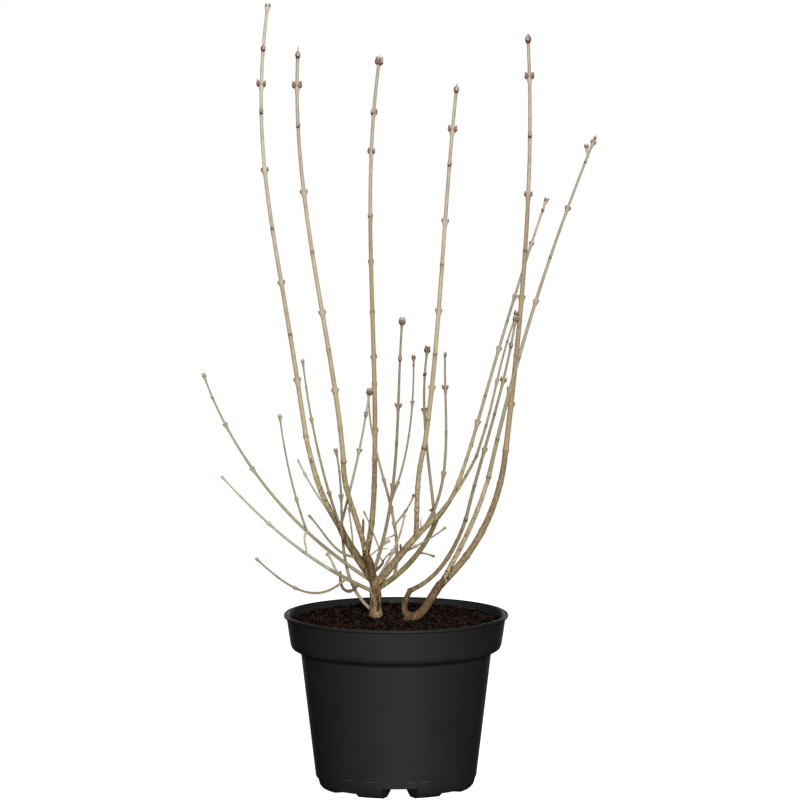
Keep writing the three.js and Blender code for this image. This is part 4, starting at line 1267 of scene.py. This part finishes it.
pale_cork = young_bark("pale_cork", "#dcc9a0")
dead_wood = young_bark("dead_wood", "#cdb899")
add_piece("shoot_leaf_scars", *caps(scar_spots(shoots), SCAR), [pale_cork], "shoot_bark")
add_piece("twig_leaf_scars", *caps(scar_spots(sprays), SCAR), [pale_cork], "twig_bark")
add_piece("dead_stubs", *stubs(shoots), [dead_wood], "shoot_bark")
wood_limbs = [(limb, curves[name]) for name, limb in OLD_WOOD.items() if name != "trunk"]
shoot_limbs = [(limb, curve) for limb, curve, _ in shoots]
add_piece("wood_pores", *caps(pore_spots(wood_limbs, WOOD_PORES), PORE), [pale_cork],
          "cane_bark")
add_piece("shoot_pores", *caps(pore_spots(shoot_limbs, SHOOT_PORES), PORE), [pale_cork],
          "shoot_bark")


# ---- Floor, light and camera ----
# A plain white table under large soft lamps, seen from a little above the rim. Table and
# backdrop are pure white to the camera.

FLOOR = {"radius": 1300, "sides": 96}

floor = mesh_object("floor", circle(FLOOR["sides"]) * FLOOR["radius"],
                    [tuple(range(FLOOR["sides"]))])
paper, paper_tree, paper_shader, paper_place = new_material("white_table")
fine = add(paper_tree, "TexNoise", {"Vector": paper_place, "Scale": 1 / (4 * MM)})
paper_tone = add(paper_tree, "ValToRGB", {"Fac": fine},
                 stops=[(0, linear("#f6f6f5")), (1, linear("#fbfbfa"))])
plug(paper_shader, {"Base Color": paper_tone, "Roughness": 0.9, "Specular IOR Level": 0.1,
                    "Emission Color": linear("#ffffff"), "Emission Strength": 1})
floor.data.materials.append(paper)
# The table is lit to pure white, and throws none of it back at the pot.
floor.visible_diffuse = floor.visible_glossy = False

# Name: place and size of the lamp's square in metres and its power in watts. Every lamp looks
# at the bush.
LAMPS = {
    "front": ((0.3, -3.6, 1.15), 1.4, 157),
    "back_left": ((-1.1, 3.9, 0.35), 1.3, 60),
    "back_right": ((1.1, 3.9, 0.35), 1.3, 60),
}
BUSH = (0, 0, 0.4)
for name, (spot, size, power) in LAMPS.items():
    lamp_data = bpy.data.lights.new(name, "AREA")
    lamp_data.size, lamp_data.energy = size, power
    lamp = in_scene(name, lamp_data)
    lamp.location = spot
    aim = np.array(BUSH) - np.array(spot)
    lamp.rotation_euler = (math.acos(aim[2] / -np.linalg.norm(aim)), 0,
                           math.atan2(-aim[0], aim[1]))

world = bpy.data.worlds.new("studio")
world.use_nodes = True
# The backdrop is pure white to the camera, and lights the bush only faintly.
seen = add(world.node_tree, "LightPath", {}).outputs["Is Camera Ray"]
glow = add(world.node_tree, "MapRange", {"Value": seen, "To Min": 0.03, "To Max": 1.0})
plug(world.node_tree.nodes["Background"], {"Color": linear("#ffffff"), "Strength": glow})
bpy.context.scene.world = world
bpy.context.scene.view_settings.view_transform = "Standard"

# Lens and sensor in millimetres, place and farthest sight in metres, and tilt up from straight
# down in degrees.
CAMERA = {"lens": 222.75, "sensor": 36, "place": (0.004, -5, 0.949), "sight": 100, "tilt": 83.7}
camera_data = bpy.data.cameras.new("camera")
camera_data.lens, camera_data.sensor_width = CAMERA["lens"], CAMERA["sensor"]
camera_data.clip_end = CAMERA["sight"]
camera = in_scene("camera", camera_data)
camera.location, camera.rotation_euler = CAMERA["place"], (math.radians(CAMERA["tilt"]), 0, 0)
bpy.context.scene.camera = camera
